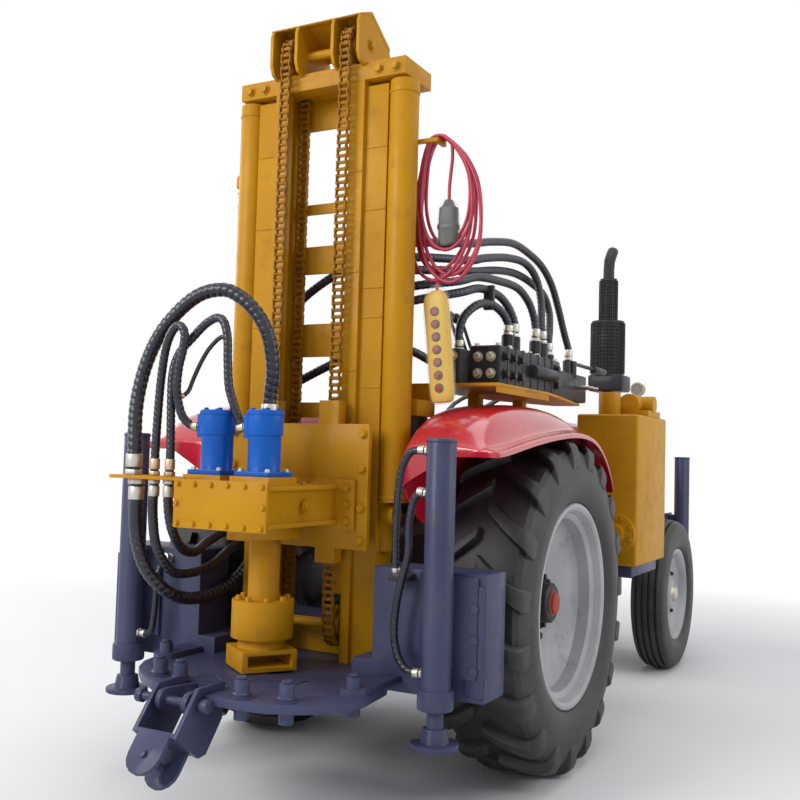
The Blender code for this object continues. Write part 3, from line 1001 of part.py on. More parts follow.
def hoses():
    """Hoses that touch or share a strap are one node."""
    tubes = {name: hose(route, diameter, sides, spacing) for name, (diameter, sides, spacing, route) in HOSES.items()}
    finish(tubes["swivel"], "swivel_hose", "hose_rubber")
    finish(fuse(tubes["motor_a"], tubes["motor_b"], tubes["motor_c"]), "motor_hoses", "hose_rubber")
    strap = span((-0.404, -0.32), (-0.58, -0.49), (1.208, 1.232))
    finish(fuse(tubes["feed_a"], tubes["feed_b"], tubes["feed_c"], strap), "feed_hoses", "hose_rubber")
    block = span(ARCH_BLOCK_X, (MAST_FRONT + GAP, MAST_FRONT + 0.085), ARCH_BLOCK_Z, 0.01)
    arches = [tubes["arch_" + letter] for letter in "abcdef"]
    finish(fuse(block, *arches, span((0.468, 0.512), (-0.21, -0.19), (1.85, 1.95))), "arch_hoses", "hose_rubber")
    clip = span((0.47, 0.542), (FRAME_REAR - GAP - 0.062, FRAME_REAR - GAP), (0.833, 0.857))
    finish(fuse(tubes["jack_low"], tubes["jack_high"], clip), "jack_hose_right", "hose_rubber")
    finish(tubes["jack_left"], "jack_hose_left", "hose_rubber")


def pendant():
    """The control pendant, and its cable's hank, which hangs from the mast's hook."""
    y, hook = HANK_HOOK[1:]
    body = sheet([(0.44, 1.8647), (0.405, 1.83), (0.45, 1.455), (0.462, 1.445), (0.535, 1.445), (0.548, 1.455),
                  (0.505, 1.83), (0.485, 1.8647)], 0.048, "Y", y - 0.024)
    finish(body, "pendant", "yellow_plastic")
    top = hook + HANK_R * math.cos(math.pi / 6) - GAP
    loop = tube([(x, y, z) for x, z in (
        (0.445, top), (0.479, top), (0.51, 2.415), (0.56, 2.36), (0.605, 2.27), (0.625, 2.15), (0.612, 2.03),
        (0.565, 1.94), (0.50, 1.897), (0.435, 1.92), (0.39, 1.99), (0.37, 2.10), (0.377, 2.22), (0.395, 2.34),
        (0.42, 2.415))], HANK_R, 6, True)
    stem = tube([(x, y, z) for x, z in (
        (0.51, 2.415), (0.505, 2.30), (0.50, 2.10), (0.485, 1.98), (0.4625, 1.93), (0.4625, 1.865))], 0.008, 6)
    connector = span((0.46, 0.545), (y - 0.03, y + 0.03), (2.02, 2.20), 0.012)
    finish(fuse(loop, stem, connector), "cable_hank", "red_cable")


clear_scene()
rig = new_collection("water_well_drilling_rig")
work = new_collection("construction")
materials = {name: make_material(name) for name in COLOURS}
base_empty = bpy.data.objects.new("rig_base", None)
base_empty.location = (0, AXLE_Y, 0)
rig.objects.link(base_empty)

rear_wheels()
front_wheels()
front_axle()
gearcase()
bonnet()
fender()
driver_place()
exhaust()
side_tank()
rear_frame()
platform()
clamp()
jacks()
front_frame()
mast()
crown()
chains()
drill_head(carriage())
deck()
hoses()
pendant()
bpy.data.collections.remove(work)
bpy.context.view_layer.update()
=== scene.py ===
"""Finish for the water well drilling rig: surfaces, hoses, chains, fittings and the studio round them."""

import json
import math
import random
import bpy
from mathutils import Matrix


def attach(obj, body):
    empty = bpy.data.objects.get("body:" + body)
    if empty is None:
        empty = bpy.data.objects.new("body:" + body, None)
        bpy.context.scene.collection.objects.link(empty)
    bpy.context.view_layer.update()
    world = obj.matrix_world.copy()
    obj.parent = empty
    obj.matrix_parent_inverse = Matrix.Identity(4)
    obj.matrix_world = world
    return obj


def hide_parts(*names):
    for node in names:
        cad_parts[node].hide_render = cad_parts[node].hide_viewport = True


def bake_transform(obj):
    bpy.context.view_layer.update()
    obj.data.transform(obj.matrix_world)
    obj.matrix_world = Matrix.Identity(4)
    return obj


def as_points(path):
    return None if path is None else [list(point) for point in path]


bl_info = {
    "name": "Water well drilling rig",
    "version": (1, 0, 0),
    "blender": (4, 5, 0),
    "location": "3D View > Sidebar > Drilling rig",
    "description": "Dresses the packed model of a tractor-mounted water well drilling rig",
    "category": "Object",
}

import bmesh
import bpy
from mathutils import Matrix, Vector

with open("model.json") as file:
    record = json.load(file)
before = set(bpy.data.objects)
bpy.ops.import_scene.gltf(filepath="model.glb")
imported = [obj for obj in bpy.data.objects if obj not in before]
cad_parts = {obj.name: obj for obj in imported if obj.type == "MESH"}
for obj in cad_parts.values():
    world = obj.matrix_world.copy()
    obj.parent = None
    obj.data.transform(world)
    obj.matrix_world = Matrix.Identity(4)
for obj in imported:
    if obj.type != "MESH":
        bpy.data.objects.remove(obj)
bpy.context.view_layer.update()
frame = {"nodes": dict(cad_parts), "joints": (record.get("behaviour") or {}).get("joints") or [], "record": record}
NODES = frame["nodes"]
BODY_OF = {name: body for body, names in frame["record"]["behaviour"]["bodies"].items() for name in names}
SLOT_OF = {part["node"]: part["material_slot"] for part in frame["record"]["subparts"]}
REAR_SPIN = next(joint for joint in frame["joints"] if joint["name"] == "rear_wheel_right_spin")
AXLE = Vector((0.0, REAR_SPIN["pos_m"][1], 0.0))

# The camera's place, measured from the rear axle's line on the floor
CAMERA_AT = (2.081, -3.862, 1.254)
CAMERA_TURN = 28.52
CAMERA_PITCH = 3.17
CAMERA_ROLL = 1.60
FOCAL_PIXELS = 987.0
FRAME_PIXELS = 800.0
SENSOR_MM = 36.0


def at(x, y, z):
    """A point measured from the rear axle's line, in the model's frame."""
    return AXLE + Vector((x, y, z))


def linked(name, data):
    """A new object in the scene."""
    obj = bpy.data.objects.new(name, data)
    bpy.context.scene.collection.objects.link(obj)
    return obj


# Materials

# Where a Mix node takes its two colours, and where it gives the mixed one
MIX_COLOURS = (6, 7)
MIX_RESULT = 2
BROWN_DUST = (0.10, 0.07, 0.05)


def shader_tree(name):
    material = bpy.data.materials.new(name)
    material.use_nodes = True
    tree = material.node_tree
    return material, tree, tree.nodes["Principled BSDF"]


def put(shader, **values):
    """Sets a node's sockets, with an underscore for a space, or else its own settings."""
    for key, value in values.items():
        socket = key.replace("_", " ")
        if socket in shader.inputs:
            shader.inputs[socket].default_value = value
        else:
            setattr(shader, key, value)
    return shader


def node(tree, kind, **values):
    return put(tree.nodes.new("ShaderNode" + kind), **values)


def link(tree, source, output, target, socket):
    tree.links.new(source.outputs[output], target.inputs[socket])


def grey(value):
    return (value, value, value)


def noise(tree, coords, scale, detail, roughness=0.55):
    made = node(tree, "TexNoise", Scale=scale, Detail=detail, Roughness=roughness)
    link(tree, coords, "Object", made, "Vector")
    return made


def ramp(tree, cloud, low, high, first, last):
    """A grey that goes from one value to another while a noise goes from low to high."""
    made = node(tree, "ValToRGB")
    for element, position, value in zip(made.color_ramp.elements, (low, high), (first, last)):
        element.position = position
        element.color = (*grey(value), 1.0)
    link(tree, cloud, "Fac", made, "Fac")
    return made


def spotted(tree, cloud, under, over, low, high, most):
    """Lays one colour over another where a noise is high; the one under may be such a mix itself."""
    made = node(tree, "Mix", data_type="RGBA")
    link(tree, ramp(tree, cloud, low, high, 0.0, most), "Color", made, 0)
    for socket, value in zip(MIX_COLOURS, (under, over)):
        if isinstance(value, bpy.types.Node):
            link(tree, value, MIX_RESULT, made, socket)
        else:
            made.inputs[socket].default_value = (*value, 1.0)
    return made


def dulled(tree, bsdf, cloud, roughness, low, high, rise):
    """Makes the surface rougher where a noise is high."""
    link(tree, ramp(tree, cloud, low, high, roughness, min(1.0, roughness + rise)), "Color", bsdf, "Roughness")


def bump(tree, bsdf, cloud, strength, distance):
    made = node(tree, "Bump", Strength=strength, Distance=distance)
    link(tree, cloud, "Fac", made, "Height")
    link(tree, made, "Normal", bsdf, "Normal")


def paint(name, colour, faded, roughness, coat, dirt, dirt_colour=BROWN_DUST):
    """Sprayed paint: slow changes of tone, a fine orange peel, dust and rubbed spots."""
    material, tree, bsdf = shader_tree(name)
    coords = node(tree, "TexCoord")
    tone = noise(tree, coords, scale=3.2, detail=4.0)
    body = spotted(tree, tone, colour, faded, low=0.32, high=0.68, most=1.0)
    grime = noise(tree, coords, scale=11.0, detail=8.0, roughness=0.68)
    skin = spotted(tree, grime, body, dirt_colour, low=0.56, high=0.74, most=dirt)
    link(tree, skin, MIX_RESULT, bsdf, "Base Color")
    dulled(tree, bsdf, grime, roughness, low=0.35, high=0.75, rise=0.25)
    put(bsdf, Specular_IOR_Level=0.5 if coat > 0.5 else 0.22, Coat_Weight=coat, Coat_Roughness=0.12)
    bump(tree, bsdf, noise(tree, coords, scale=160.0, detail=2.0), strength=0.10, distance=0.002)
    return material


def metal(name, colour, roughness, metallic=1.0, stain=(0.12, 0.08, 0.05), stained=0.3):
    """Metal with faint stains, which are also duller."""
    material, tree, bsdf = shader_tree(name)
    cloud = noise(tree, node(tree, "TexCoord"), scale=24.0, detail=6.0, roughness=0.65)
    skin = spotted(tree, cloud, colour, stain, low=0.52, high=0.72, most=stained)
    link(tree, skin, MIX_RESULT, bsdf, "Base Color")
    dulled(tree, bsdf, cloud, roughness, low=0.3, high=0.7, rise=0.3)
    put(bsdf, Metallic=metallic)
    bump(tree, bsdf, cloud, strength=0.12, distance=0.002)
    return material


def rubber(name, colour, dust, dusted, scale, roughness):
    """Moulded rubber with dust in patches."""
    material, tree, bsdf = shader_tree(name)
    coords = node(tree, "TexCoord")
    cloud = noise(tree, coords, scale, detail=7.0, roughness=0.66)
    skin = spotted(tree, cloud, colour, dust, low=0.40, high=0.72, most=dusted)
    link(tree, skin, MIX_RESULT, bsdf, "Base Color")
    put(bsdf, Roughness=roughness)
    bump(tree, bsdf, noise(tree, coords, scale=220.0, detail=3.0), strength=0.25, distance=0.0015)
    return material


def clear_film(name):
    """Thin wrinkled plastic, mostly see-through."""
    material, tree, bsdf = shader_tree(name)
    put(bsdf, Base_Color=(0.86, 0.84, 0.80, 1.0), Roughness=0.12, Alpha=0.14)
    folds = noise(tree, node(tree, "TexCoord"), scale=38.0, detail=5.0, roughness=0.6)
    bump(tree, bsdf, folds, strength=0.8, distance=0.02)
    return material


MATERIALS = {}


def make_materials(colours):
    yellow, slate, red, blue, silver, cable = (tuple(getattr(colours, key)) for key in (
        "yellow", "slate", "red", "blue", "silver", "cable"))
    # Paint: colour, faded colour, roughness, coat, and how much dirt. Metal: colour, roughness, how metallic, and
    # its stains. Rubber: colour, dust, how much of it, size of its patches, and roughness.
    MATERIALS.update({
        "yellow_paint": paint("yellow paint", yellow, (yellow[0] * 0.86, yellow[1] * 0.80, 0.0), 0.44, 0.06, 0.30),
        "slate_paint": paint("slate paint", slate, (slate[0] * 0.7, slate[1] * 0.7, slate[2] * 0.75), 0.42, 0.15,
                             0.35, (0.10, 0.09, 0.085)),
        "red_paint": paint("red paint", red, (red[0] * 0.8, red[1], red[2]), 0.16, 0.8, 0.10),
        "blue_paint": paint("blue paint", blue, (0.0, blue[1] * 0.8, blue[2] * 0.8), 0.36, 0.12, 0.05),
        "silver_paint": paint("silver paint", silver, (0.30, 0.30, 0.31), 0.34, 0.2, 0.35),
        "black_iron": paint("black iron", (0.014, 0.014, 0.018), (0.03, 0.03, 0.035), 0.42, 0.1, 0.25,
                            (0.09, 0.07, 0.05)),
        "grey_iron": metal("grey iron", (0.10, 0.10, 0.105), 0.55, 0.3),
        "steel": metal("zinc steel", (0.55, 0.53, 0.48), 0.30),
        "brass": metal("brass fittings", (0.62, 0.47, 0.30), 0.28, 1.0, (0.30, 0.14, 0.07), 0.5),
        "tyre_rubber": rubber("tyre rubber", (0.009, 0.0085, 0.010), (0.075, 0.066, 0.058), 0.36, 7.0, 0.52),
        "hose_rubber": rubber("hose rubber", (0.010, 0.010, 0.014), (0.05, 0.05, 0.06), 0.4, 30.0, 0.42),
        "guard_plastic": rubber("hose guard", (0.011, 0.011, 0.022), (0.055, 0.055, 0.075), 0.32, 26.0, 0.30),
        "black_plastic": rubber("black plastic", (0.012, 0.012, 0.013), (0.05, 0.05, 0.05), 0.3, 20.0, 0.45),
        "red_cable": rubber("red cable", cable, (0.30, 0.04, 0.06), 0.3, 30.0, 0.38),
        "yellow_plastic": paint("yellow plastic", (0.80, 0.50, 0.01), (0.72, 0.44, 0.01), 0.34, 0.1, 0.08),
        "cap_paint": paint("hub cap paint", (0.42, 0.075, 0.05), (0.30, 0.05, 0.035), 0.5, 0.0, 0.5),
        "chain_paint": paint("painted chain", (yellow[0] * 0.72, yellow[1] * 0.66, 0.004), (0.30, 0.13, 0.006),
                             0.45, 0.1, 0.75, (0.07, 0.05, 0.04)),
        "lens": metal("lamp lens", (0.80, 0.80, 0.78), 0.08, 0.4, (0.6, 0.6, 0.58), 0.1),
        "film": clear_film("clear film"),
    })


# The stage

# How far from its middle the floor starts to turn white, and where it is white
FLOOR_FADE = (2.9, 5.6)
LAMP_AIM = (0, 0.2, 1.3)
# Each lamp: its name, place, size, the setting with its power, and its colour
LAMPS = (("key", (-2.6, -6.2, 4.4), (3.5, 3.0), "key_power", (1.0, 0.985, 0.96)),
         ("left", (-6.5, 0.5, 3.6), (4.0, 3.0), "fill_power", (1.0, 1.0, 1.0)),
         ("right", (6.0, 1.5, 3.8), (4.0, 3.0), "fill_power", (1.0, 1.0, 1.0)),
         ("top", (0.5, 0.5, 6.5), (5.0, 5.0), "fill_power", (1.0, 1.0, 1.0)))
WHITE = (1.0, 1.0, 1.0, 1.0)
SKY = (0.92, 0.95, 1.0, 1.0)


def camera_matrix():
    turn, pitch, roll = (math.radians(a) for a in (CAMERA_TURN, CAMERA_PITCH, CAMERA_ROLL))
    ahead = Vector((-math.sin(turn) * math.cos(pitch), math.cos(turn) * math.cos(pitch), math.sin(pitch)))
    level = Vector((math.cos(turn), math.sin(turn), 0.0))
    above = level.cross(ahead)
    right = math.cos(roll) * level + math.sin(roll) * above
    up = -math.sin(roll) * level + math.cos(roll) * above
    made = Matrix((right, up, -ahead)).transposed().to_4x4()
    made.translation = at(*CAMERA_AT)
    return made


def add_camera():
    data = bpy.data.cameras.new("camera")
    data.sensor_width = SENSOR_MM
    data.lens = FOCAL_PIXELS / FRAME_PIXELS * SENSOR_MM
    data.clip_end = 200.0
    camera = linked("camera", data)
    camera.matrix_world = camera_matrix()
    bpy.context.scene.camera = camera


def add_lamp(name, place, size, power, colour):
    """A soft lamp that faces the rig's middle."""
    data = bpy.data.lights.new(name, "AREA")
    data.shape = "RECTANGLE"
    data.size, data.size_y = size
    data.energy = power
    data.color = colour
    lamp = linked(name, data)
    lamp.location = at(*place)
    lamp.rotation_euler = (at(*LAMP_AIM) - at(*place)).to_track_quat("-Z", "Y").to_euler()


def blended(tree, share, first, second):
    """Goes from one shader to another by an output."""
    made = node(tree, "MixShader")
    for source, socket in ((share, 0), (first.outputs[0], 1), (second.outputs[0], 2)):
        tree.links.new(source, made.inputs[socket])
    return made


def seen(tree, bright, dull):
    """Uses one shader where a camera, a mirror or glass looks, and another for light that bounces."""
    path = node(tree, "LightPath")
    looked_at = path.outputs["Is Camera Ray"]
    for ray in ("Is Glossy Ray", "Is Transmission Ray"):
        either = node(tree, "Math", operation="MAXIMUM")
        tree.links.new(looked_at, either.inputs[0])
        link(tree, path, ray, either, 1)
        looked_at = either.outputs["Value"]
    return blended(tree, looked_at, dull, bright)


def floor_material(tone):
    """Pale floor that turns to plain white away from the rig."""
    material, tree, bsdf = shader_tree("studio floor")
    tree.nodes.remove(bsdf)
    plain = node(tree, "BsdfDiffuse", Color=(*grey(tone), 1.0))
    white = node(tree, "Emission", Color=WHITE)
    away = node(tree, "VectorMath", operation="LENGTH")
    link(tree, node(tree, "TexCoord"), "Object", away, 0)
    share = node(tree, "MapRange", From_Min=FLOOR_FADE[0], From_Max=FLOOR_FADE[1])
    link(tree, away, "Value", share, "Value")
    far = blended(tree, share.outputs["Result"], plain, white)
    link(tree, seen(tree, far, plain), 0, tree.nodes["Material Output"], "Surface")
    return material


def add_world(strength):
    world = bpy.data.worlds.new("studio")
    bpy.context.scene.world = world
    world.use_nodes = True
    tree = world.node_tree
    dull = put(tree.nodes["Background"], Color=SKY, Strength=strength)
    white = node(tree, "Background", Color=WHITE, Strength=1.0)
    link(tree, seen(tree, white, dull), 0, tree.nodes["World Output"], "Surface")


# Settings that a user would change

def colour_setting(name, description, default):
    return bpy.props.FloatVectorProperty(name=name, description=description, size=3, subtype="COLOR", min=0.0,
                                         max=1.0, default=default)


def amount_setting(name, description, default, **limits):
    return bpy.props.FloatProperty(name=name, description=description, default=default, **{"min": 0.0, **limits})


class RigColours(bpy.types.PropertyGroup):
    """Paint and cable colours, as linear light."""
    yellow: colour_setting("Rig paint", "Mast, drill head and tank", (0.53, 0.255, 0.0))
    slate: colour_setting("Frame paint", "Frame, platform and jacks", (0.052, 0.058, 0.120))
    red: colour_setting("Tractor paint", "Fenders and hood", (0.56, 0.006, 0.025))
    blue: colour_setting("Motor paint", "Hydraulic motors", (0.0, 0.105, 0.50))
    silver: colour_setting("Rim paint", "Wheel rims", (0.44, 0.44, 0.46))
    cable: colour_setting("Cable", "The pendant's cable", (0.45, 0.02, 0.06))


class RigStudio(bpy.types.PropertyGroup):
    """Floor and light."""
    floor_size: amount_setting("Floor", "Side of the floor", 60.0, min=10.0, unit="LENGTH")
    floor_tone: amount_setting("Floor tone", "How pale the floor is", 0.86, max=1.0)
    key_power: amount_setting("Key lamp", "Power of the lamp behind the camera", 300.0, unit="POWER")
    fill_power: amount_setting("Side lamps", "Power of each other lamp", 110.0, unit="POWER")
    world_light: amount_setting("Sky", "Strength of the even light", 0.50)


class RIG_OT_stage(bpy.types.Operator):
    """Adds the floor, the even light, the lamps and the camera"""
    bl_idname = "rig.stage"
    bl_label = "Studio"

    def execute(self, context):
        studio = context.scene.rig_studio
        deselect()
        bpy.ops.mesh.primitive_plane_add(size=studio.floor_size, location=(0, 0, 0))
        floor = context.object
        floor.name = "studio_floor"
        floor.data.materials.append(floor_material(studio.floor_tone))
        add_world(studio.world_light)
        for name, place, size, power, colour in LAMPS:
            add_lamp(name, place, size, getattr(studio, power), colour)
        add_camera()
        return {"FINISHED"}


# Modelling helpers

LEAN = {"X": (0.0, math.pi / 2, 0.0), "Y": (-math.pi / 2, 0.0, 0.0), "Z": (0.0, 0.0, 0.0)}
# Edges that bend less than this are shaded smooth and get no bevel, in degrees
SOFT_ANGLE = 32.0
# Faces that meet flatter than this are merged, in degrees
FLAT_ANGLE = 0.6
MERGE_GAP = 1e-5


def deselect():
    bpy.ops.object.select_all(action="DESELECT")


def pick(*objects):
    deselect()
    for obj in objects:
        obj.select_set(True)
    bpy.context.view_layer.objects.active = objects[0]


def edited(obj, *steps):
    """Runs operators on the whole of a mesh, each an operator with its values."""
    pick(obj)
    bpy.ops.object.mode_set(mode="EDIT")
    for operator, values in steps:
        bpy.ops.mesh.select_all(action="SELECT")
        operator(**values)
    bpy.ops.object.mode_set(mode="OBJECT")
    return obj


def apply_modifiers(obj):
    pick(obj)
    for modifier in list(obj.modifiers):
        bpy.ops.object.modifier_apply(modifier=modifier.name)
    return obj


def shaded(obj, angle):
    """Shades the edges that bend less than an angle smooth."""
    pick(obj)
    bpy.ops.object.shade_smooth_by_angle(angle=math.radians(angle))
    return obj


def rounded(obj, width, segments=2, angle=SOFT_ANGLE):
    """Bevels the sharp edges, applies the place and shades smooth across the soft ones."""
    pick(obj)
    bpy.ops.object.transform_apply(location=True, rotation=True, scale=True)
    if width > 0:
        bevel = obj.modifiers.new("edges", "BEVEL")
        bevel.width = width
        bevel.segments = segments
        bevel.limit_method = "ANGLE"
        bevel.angle_limit = math.radians(angle)
        apply_modifiers(obj)
    return shaded(obj, angle)


def bar(radius, depth, middle, sides, bevel=0.0, segments=2, axis="Z"):
    """A round or many-sided bar about its middle, along an axis."""
    deselect()
    bpy.ops.mesh.primitive_cylinder_add(vertices=sides, radius=radius, depth=depth, location=middle,
                                        rotation=LEAN[axis])
    return rounded(bpy.context.object, bevel, segments)


def cylinder(radius, low, high, axis, across, sides, bevel):
    """A round bar between two places on an axis; across is its place on the other two axes."""
    middle = list(across)
    middle.insert("XYZ".index(axis), (low + high) / 2)
    return bar(radius, high - low, at(*middle), sides, bevel, axis=axis)


def block(x, y, z, bevel):
    """A box given by its limits on each axis."""
    deselect()
    bpy.ops.mesh.primitive_cube_add(size=1.0, location=at(*[sum(limits) / 2 for limits in (x, y, z)]))
    obj = bpy.context.object
    obj.scale = [abs(high - low) for low, high in (x, y, z)]
    return rounded(obj, bevel)


def aligned(direction):
    """Turns +Z to a direction."""
    return Vector(direction).normalized().to_track_quat("Z", "Y").to_matrix().to_4x4()


def copied(obj, matrix):
    """A copy with its own mesh, moved by a matrix."""
    copy = obj.copy()
    copy.data = obj.data.copy()
    copy.data.transform(matrix)
    bpy.context.scene.collection.objects.link(copy)
    return copy


def repeated(obj, places):
    """Copies of a piece modelled at the origin; the first one is removed."""
    made = [copied(obj, matrix) for matrix in places]
    bpy.data.objects.remove(obj)
    return made


def joined(objects):
    pick(*objects)
    if len(objects) > 1:
        bpy.ops.object.join()
    return objects[0]


def spun(profile, axis, centre, steps, angle=SOFT_ANGLE):
    """A closed profile of places along the axis and radii, spun round it."""
    outward = Vector((0, 0, 1)) if axis == "X" else Vector((1, 0, 0))
    along = Vector([float(letter == axis) for letter in "XYZ"])
    mesh = bpy.data.meshes.new("profile")
    mesh.from_pydata([at(*centre) + along * a + outward * r for a, r in profile],
                     [(i, (i + 1) % len(profile)) for i in range(len(profile))], [])
    obj = edited(linked("spun", mesh),
                 (bpy.ops.mesh.spin, {"steps": steps, "angle": 2 * math.pi, "center": at(*centre), "axis": along}),
                 (bpy.ops.mesh.remove_doubles, {"threshold": MERGE_GAP}),
                 (bpy.ops.mesh.normals_make_consistent, {"inside": False}))
    return rounded(obj, 0.0, angle=angle)


def settle(obj, name, slot, body, *nodes, finish=None):
    """Names a finished piece, gives it its finish, its body and the nodes that it stands for."""
    obj.name = obj.data.name = name
    obj.data.materials.clear()
    obj.data.materials.append(MATERIALS[finish or slot])
    if body:
        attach(obj, body)
    if nodes:
        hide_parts(*nodes)
    return obj


# Of a bolt: the bevel of its head and the radius of its washer, as shares of its size, and the washer's thickness
# and middle, as shares of its depth
HEAD_BEVEL, WASHER_RADIUS = 0.06, 0.64
WASHER_THICK, WASHER_MIDDLE = 0.28, 0.10
# Ways that a bolt's head can face
UP, OUT, INWARD, REAR = (0, 0, 1), (1, 0, 0), (-1, 0, 0), (0, -1, 0)


def facing(way, places):
    return [(place, way) for place in places]


def grid(xs, ys, zs):
    """Every place with one of the xs, one of the ys and one of the zs."""
    return [(x, y, z) for x in xs for y in ys for z in zs]


def hex_bolts(size, depth, heads, washer=True):
    """Hex heads on washers; each head is a place and the way that it faces."""
    head = bar(size / 2, depth, (0, 0, depth / 2), 6, size * HEAD_BEVEL, 1)
    if washer:
        middle = (0, 0, depth * WASHER_MIDDLE)
        head = joined([head, bar(size * WASHER_RADIUS, depth * WASHER_THICK, middle, 20)])
    return joined(repeated(head, [Matrix.Translation(at(*place)) @ aligned(way) for place, way in heads]))


def hex_heads(name, size, depth, heads, slot, body, finish=None, washer=True):
    return settle(hex_bolts(size, depth, heads, washer), name, slot, body, finish=finish)


def circle(count, radius, turn=0.0):
    """Places evenly round a circle, the first one turned on by a share of their spacing."""
    angles = [2 * math.pi * (i + turn) / count for i in range(count)]
    return [(radius * math.cos(angle), radius * math.sin(angle)) for angle in angles]


# Width of the rounded edge of each solid that keeps its shape
EDGE_WIDTHS = {
    "mast": 0.003, "crown": 0.003, "carriage": 0.0025, "gearbox": 0.003, "platform": 0.003, "rear_frame": 0.004,
    "front_frame": 0.004, "clamp_bracket": 0.003, "spindle": 0.002, "side_tank": 0.006, "tank_bracket": 0.004,
    "tank_pump": 0.002, "valve_deck": 0.002, "valve_bank": 0.003, "floor_plate": 0.004, "front_axle": 0.005,
    "knuckle_left": 0.003, "knuckle_right": 0.003, "gearcase": 0.008, "engine_block": 0.02, "radiator": 0.006,
    "hood": 0.006, "nose_grille": 0.004, "seat": 0.02, "steering_wheel": 0.0, "motor_left": 0.003,
    "motor_right": 0.003, "water_swivel": 0.003,
    **{"jack_%s_%s_%s" % (part, end, side): 0.003 for part in ("foot", "barrel") for end in ("rear", "front")
       for side in ("left", "right")},
    "exhaust_stack": 0.003,
}


class RIG_OT_bodywork(bpy.types.Operator):
    """Rounds the edges of the plain solids and shades them smooth"""
    bl_idname = "rig.bodywork"
    bl_label = "Bodywork"

    def execute(self, context):
        for name, width in EDGE_WIDTHS.items():
            copy = edited(linked(name + "_body", NODES[name].data.copy()),
                          (bpy.ops.mesh.remove_doubles, {"threshold": MERGE_GAP}),
                          (bpy.ops.mesh.dissolve_limited, {"angle_limit": math.radians(FLAT_ANGLE)}),
                          (bpy.ops.mesh.customdata_custom_splitnormals_clear, {}))
            settle(rounded(copy, width), name + "_body", SLOT_OF[name], BODY_OF[name], name)
        return {"FINISHED"}


# Forms shared by the wheels, the fenders, the chains and the pendant

def spot_of(vert):
    return tuple(round(value, 6) for value in vert.co)


def lofted(sections, bevel=0.0, angle=SOFT_ANGLE, smooth=0):
    """A closed form: the first ring of points is extruded and moved on to each next ring."""
    deselect()
    bpy.ops.mesh.primitive_circle_add(vertices=len(sections[0]), fill_type="NGON", radius=1.0)
    obj = bpy.context.object
    bpy.ops.object.mode_set(mode="EDIT")
    ring = sorted(bmesh.from_edit_mesh(obj.data).verts, key=lambda vert: vert.index)
    for vert, spot in zip(ring, sections[0]):
        vert.co = Vector(spot)
    for section in sections[1:]:
        before = {spot_of(vert): order for order, vert in enumerate(ring)}
        bmesh.update_edit_mesh(obj.data)
        bpy.ops.mesh.extrude_region_move()
        fresh = [vert for vert in bmesh.from_edit_mesh(obj.data).verts if vert.select]
        ring = sorted(fresh, key=lambda vert: before[spot_of(vert)])
        for vert, spot in zip(ring, section):
            vert.co = Vector(spot)
    bmesh.update_edit_mesh(obj.data)
    bpy.ops.object.mode_set(mode="OBJECT")
    edited(obj, (bpy.ops.mesh.normals_make_consistent, {"inside": False}))
    if smooth:
        subdivide = obj.modifiers.new("smooth", "SUBSURF")
        subdivide.levels = subdivide.render_levels = smooth
        apply_modifiers(obj)
    return rounded(obj, bevel, 2, angle)


def mirrored(obj):
    """The same piece on the other side of the rig."""
    return edited(copied(obj, Matrix.Scale(-1.0, 4, (1.0, 0.0, 0.0))), (bpy.ops.mesh.flip_normals, {}))


def both_sides(obj, name, slot, body, node=None, finish=None):
    """Settles a right-hand piece and its mirrored twin; names hold a %s for the side."""
    twin = mirrored(obj)
    for piece, side in ((obj, "right"), (twin, "left")):
        settle(piece, name % side, slot, body % side if "%s" in body else body,
               *([node % side] if node else []), finish=finish)


# Wheels

REAR_HUB = (0.64, 0.0, 0.67)
FRONT_HUB = (0.605, 2.33, 0.45)
REAR_CARCASS = (
    (0.1527, 0.3835), (0.1530, 0.400), (0.158, 0.412), (0.164, 0.416), (0.169, 0.427), (0.179, 0.443),
    (0.1845, 0.470), (0.1858, 0.477), (0.1872, 0.500), (0.1872, 0.520), (0.1855, 0.528), (0.183, 0.552),
    (0.176, 0.585), (0.166, 0.608), (0.148, 0.624), (0.10, 0.631), (0.04, 0.634))
FRONT_CARCASS = (
    (0.067, 0.2505), (0.068, 0.262), (0.074, 0.270), (0.078, 0.276), (0.088, 0.288), (0.0965, 0.305),
    (0.0995, 0.335), (0.099, 0.365), (0.0965, 0.395), (0.0925, 0.416), (0.086, 0.428), (0.070, 0.4385),
    (0.064, 0.4415), (0.061, 0.430), (0.051, 0.430), (0.048, 0.445), (0.026, 0.4485), (0.0235, 0.4360),
    (0.0125, 0.4360), (0.010, 0.4495))
# Along a lug: its share of the half width, how high it stands, and half its width at the top and at the foot
LUG_STATIONS = (
    (0.04, 0.6695, 0.021, 0.034), (0.18, 0.6695, 0.024, 0.036), (0.38, 0.6680, 0.026, 0.038),
    (0.58, 0.6645, 0.028, 0.041), (0.76, 0.6585, 0.031, 0.045), (0.88, 0.6500, 0.034, 0.049),
    (0.955, 0.6360, 0.036, 0.051), (0.992, 0.6130, 0.036, 0.050), (1.000, 0.5850, 0.034, 0.046),
    (0.998, 0.5600, 0.028, 0.036))
LUGS = 19
LUG_SWEEP = 0.205
LUG_HALF_WIDTH = 0.186
# The share of the half width past which a lug runs down the side wall
LUG_SHOULDER = 0.9
# How far the foot of a lug lies under its top, on the tread and past the shoulder, and how far it tucks in there
LUG_SINK = 0.050
LUG_SIDE_SINK = 0.030
LUG_TUCK = 0.024


def whole(half):
    """The closed profile of a tyre, from the profile of one half."""
    return [(-a, r) for a, r in half] + list(reversed(half))


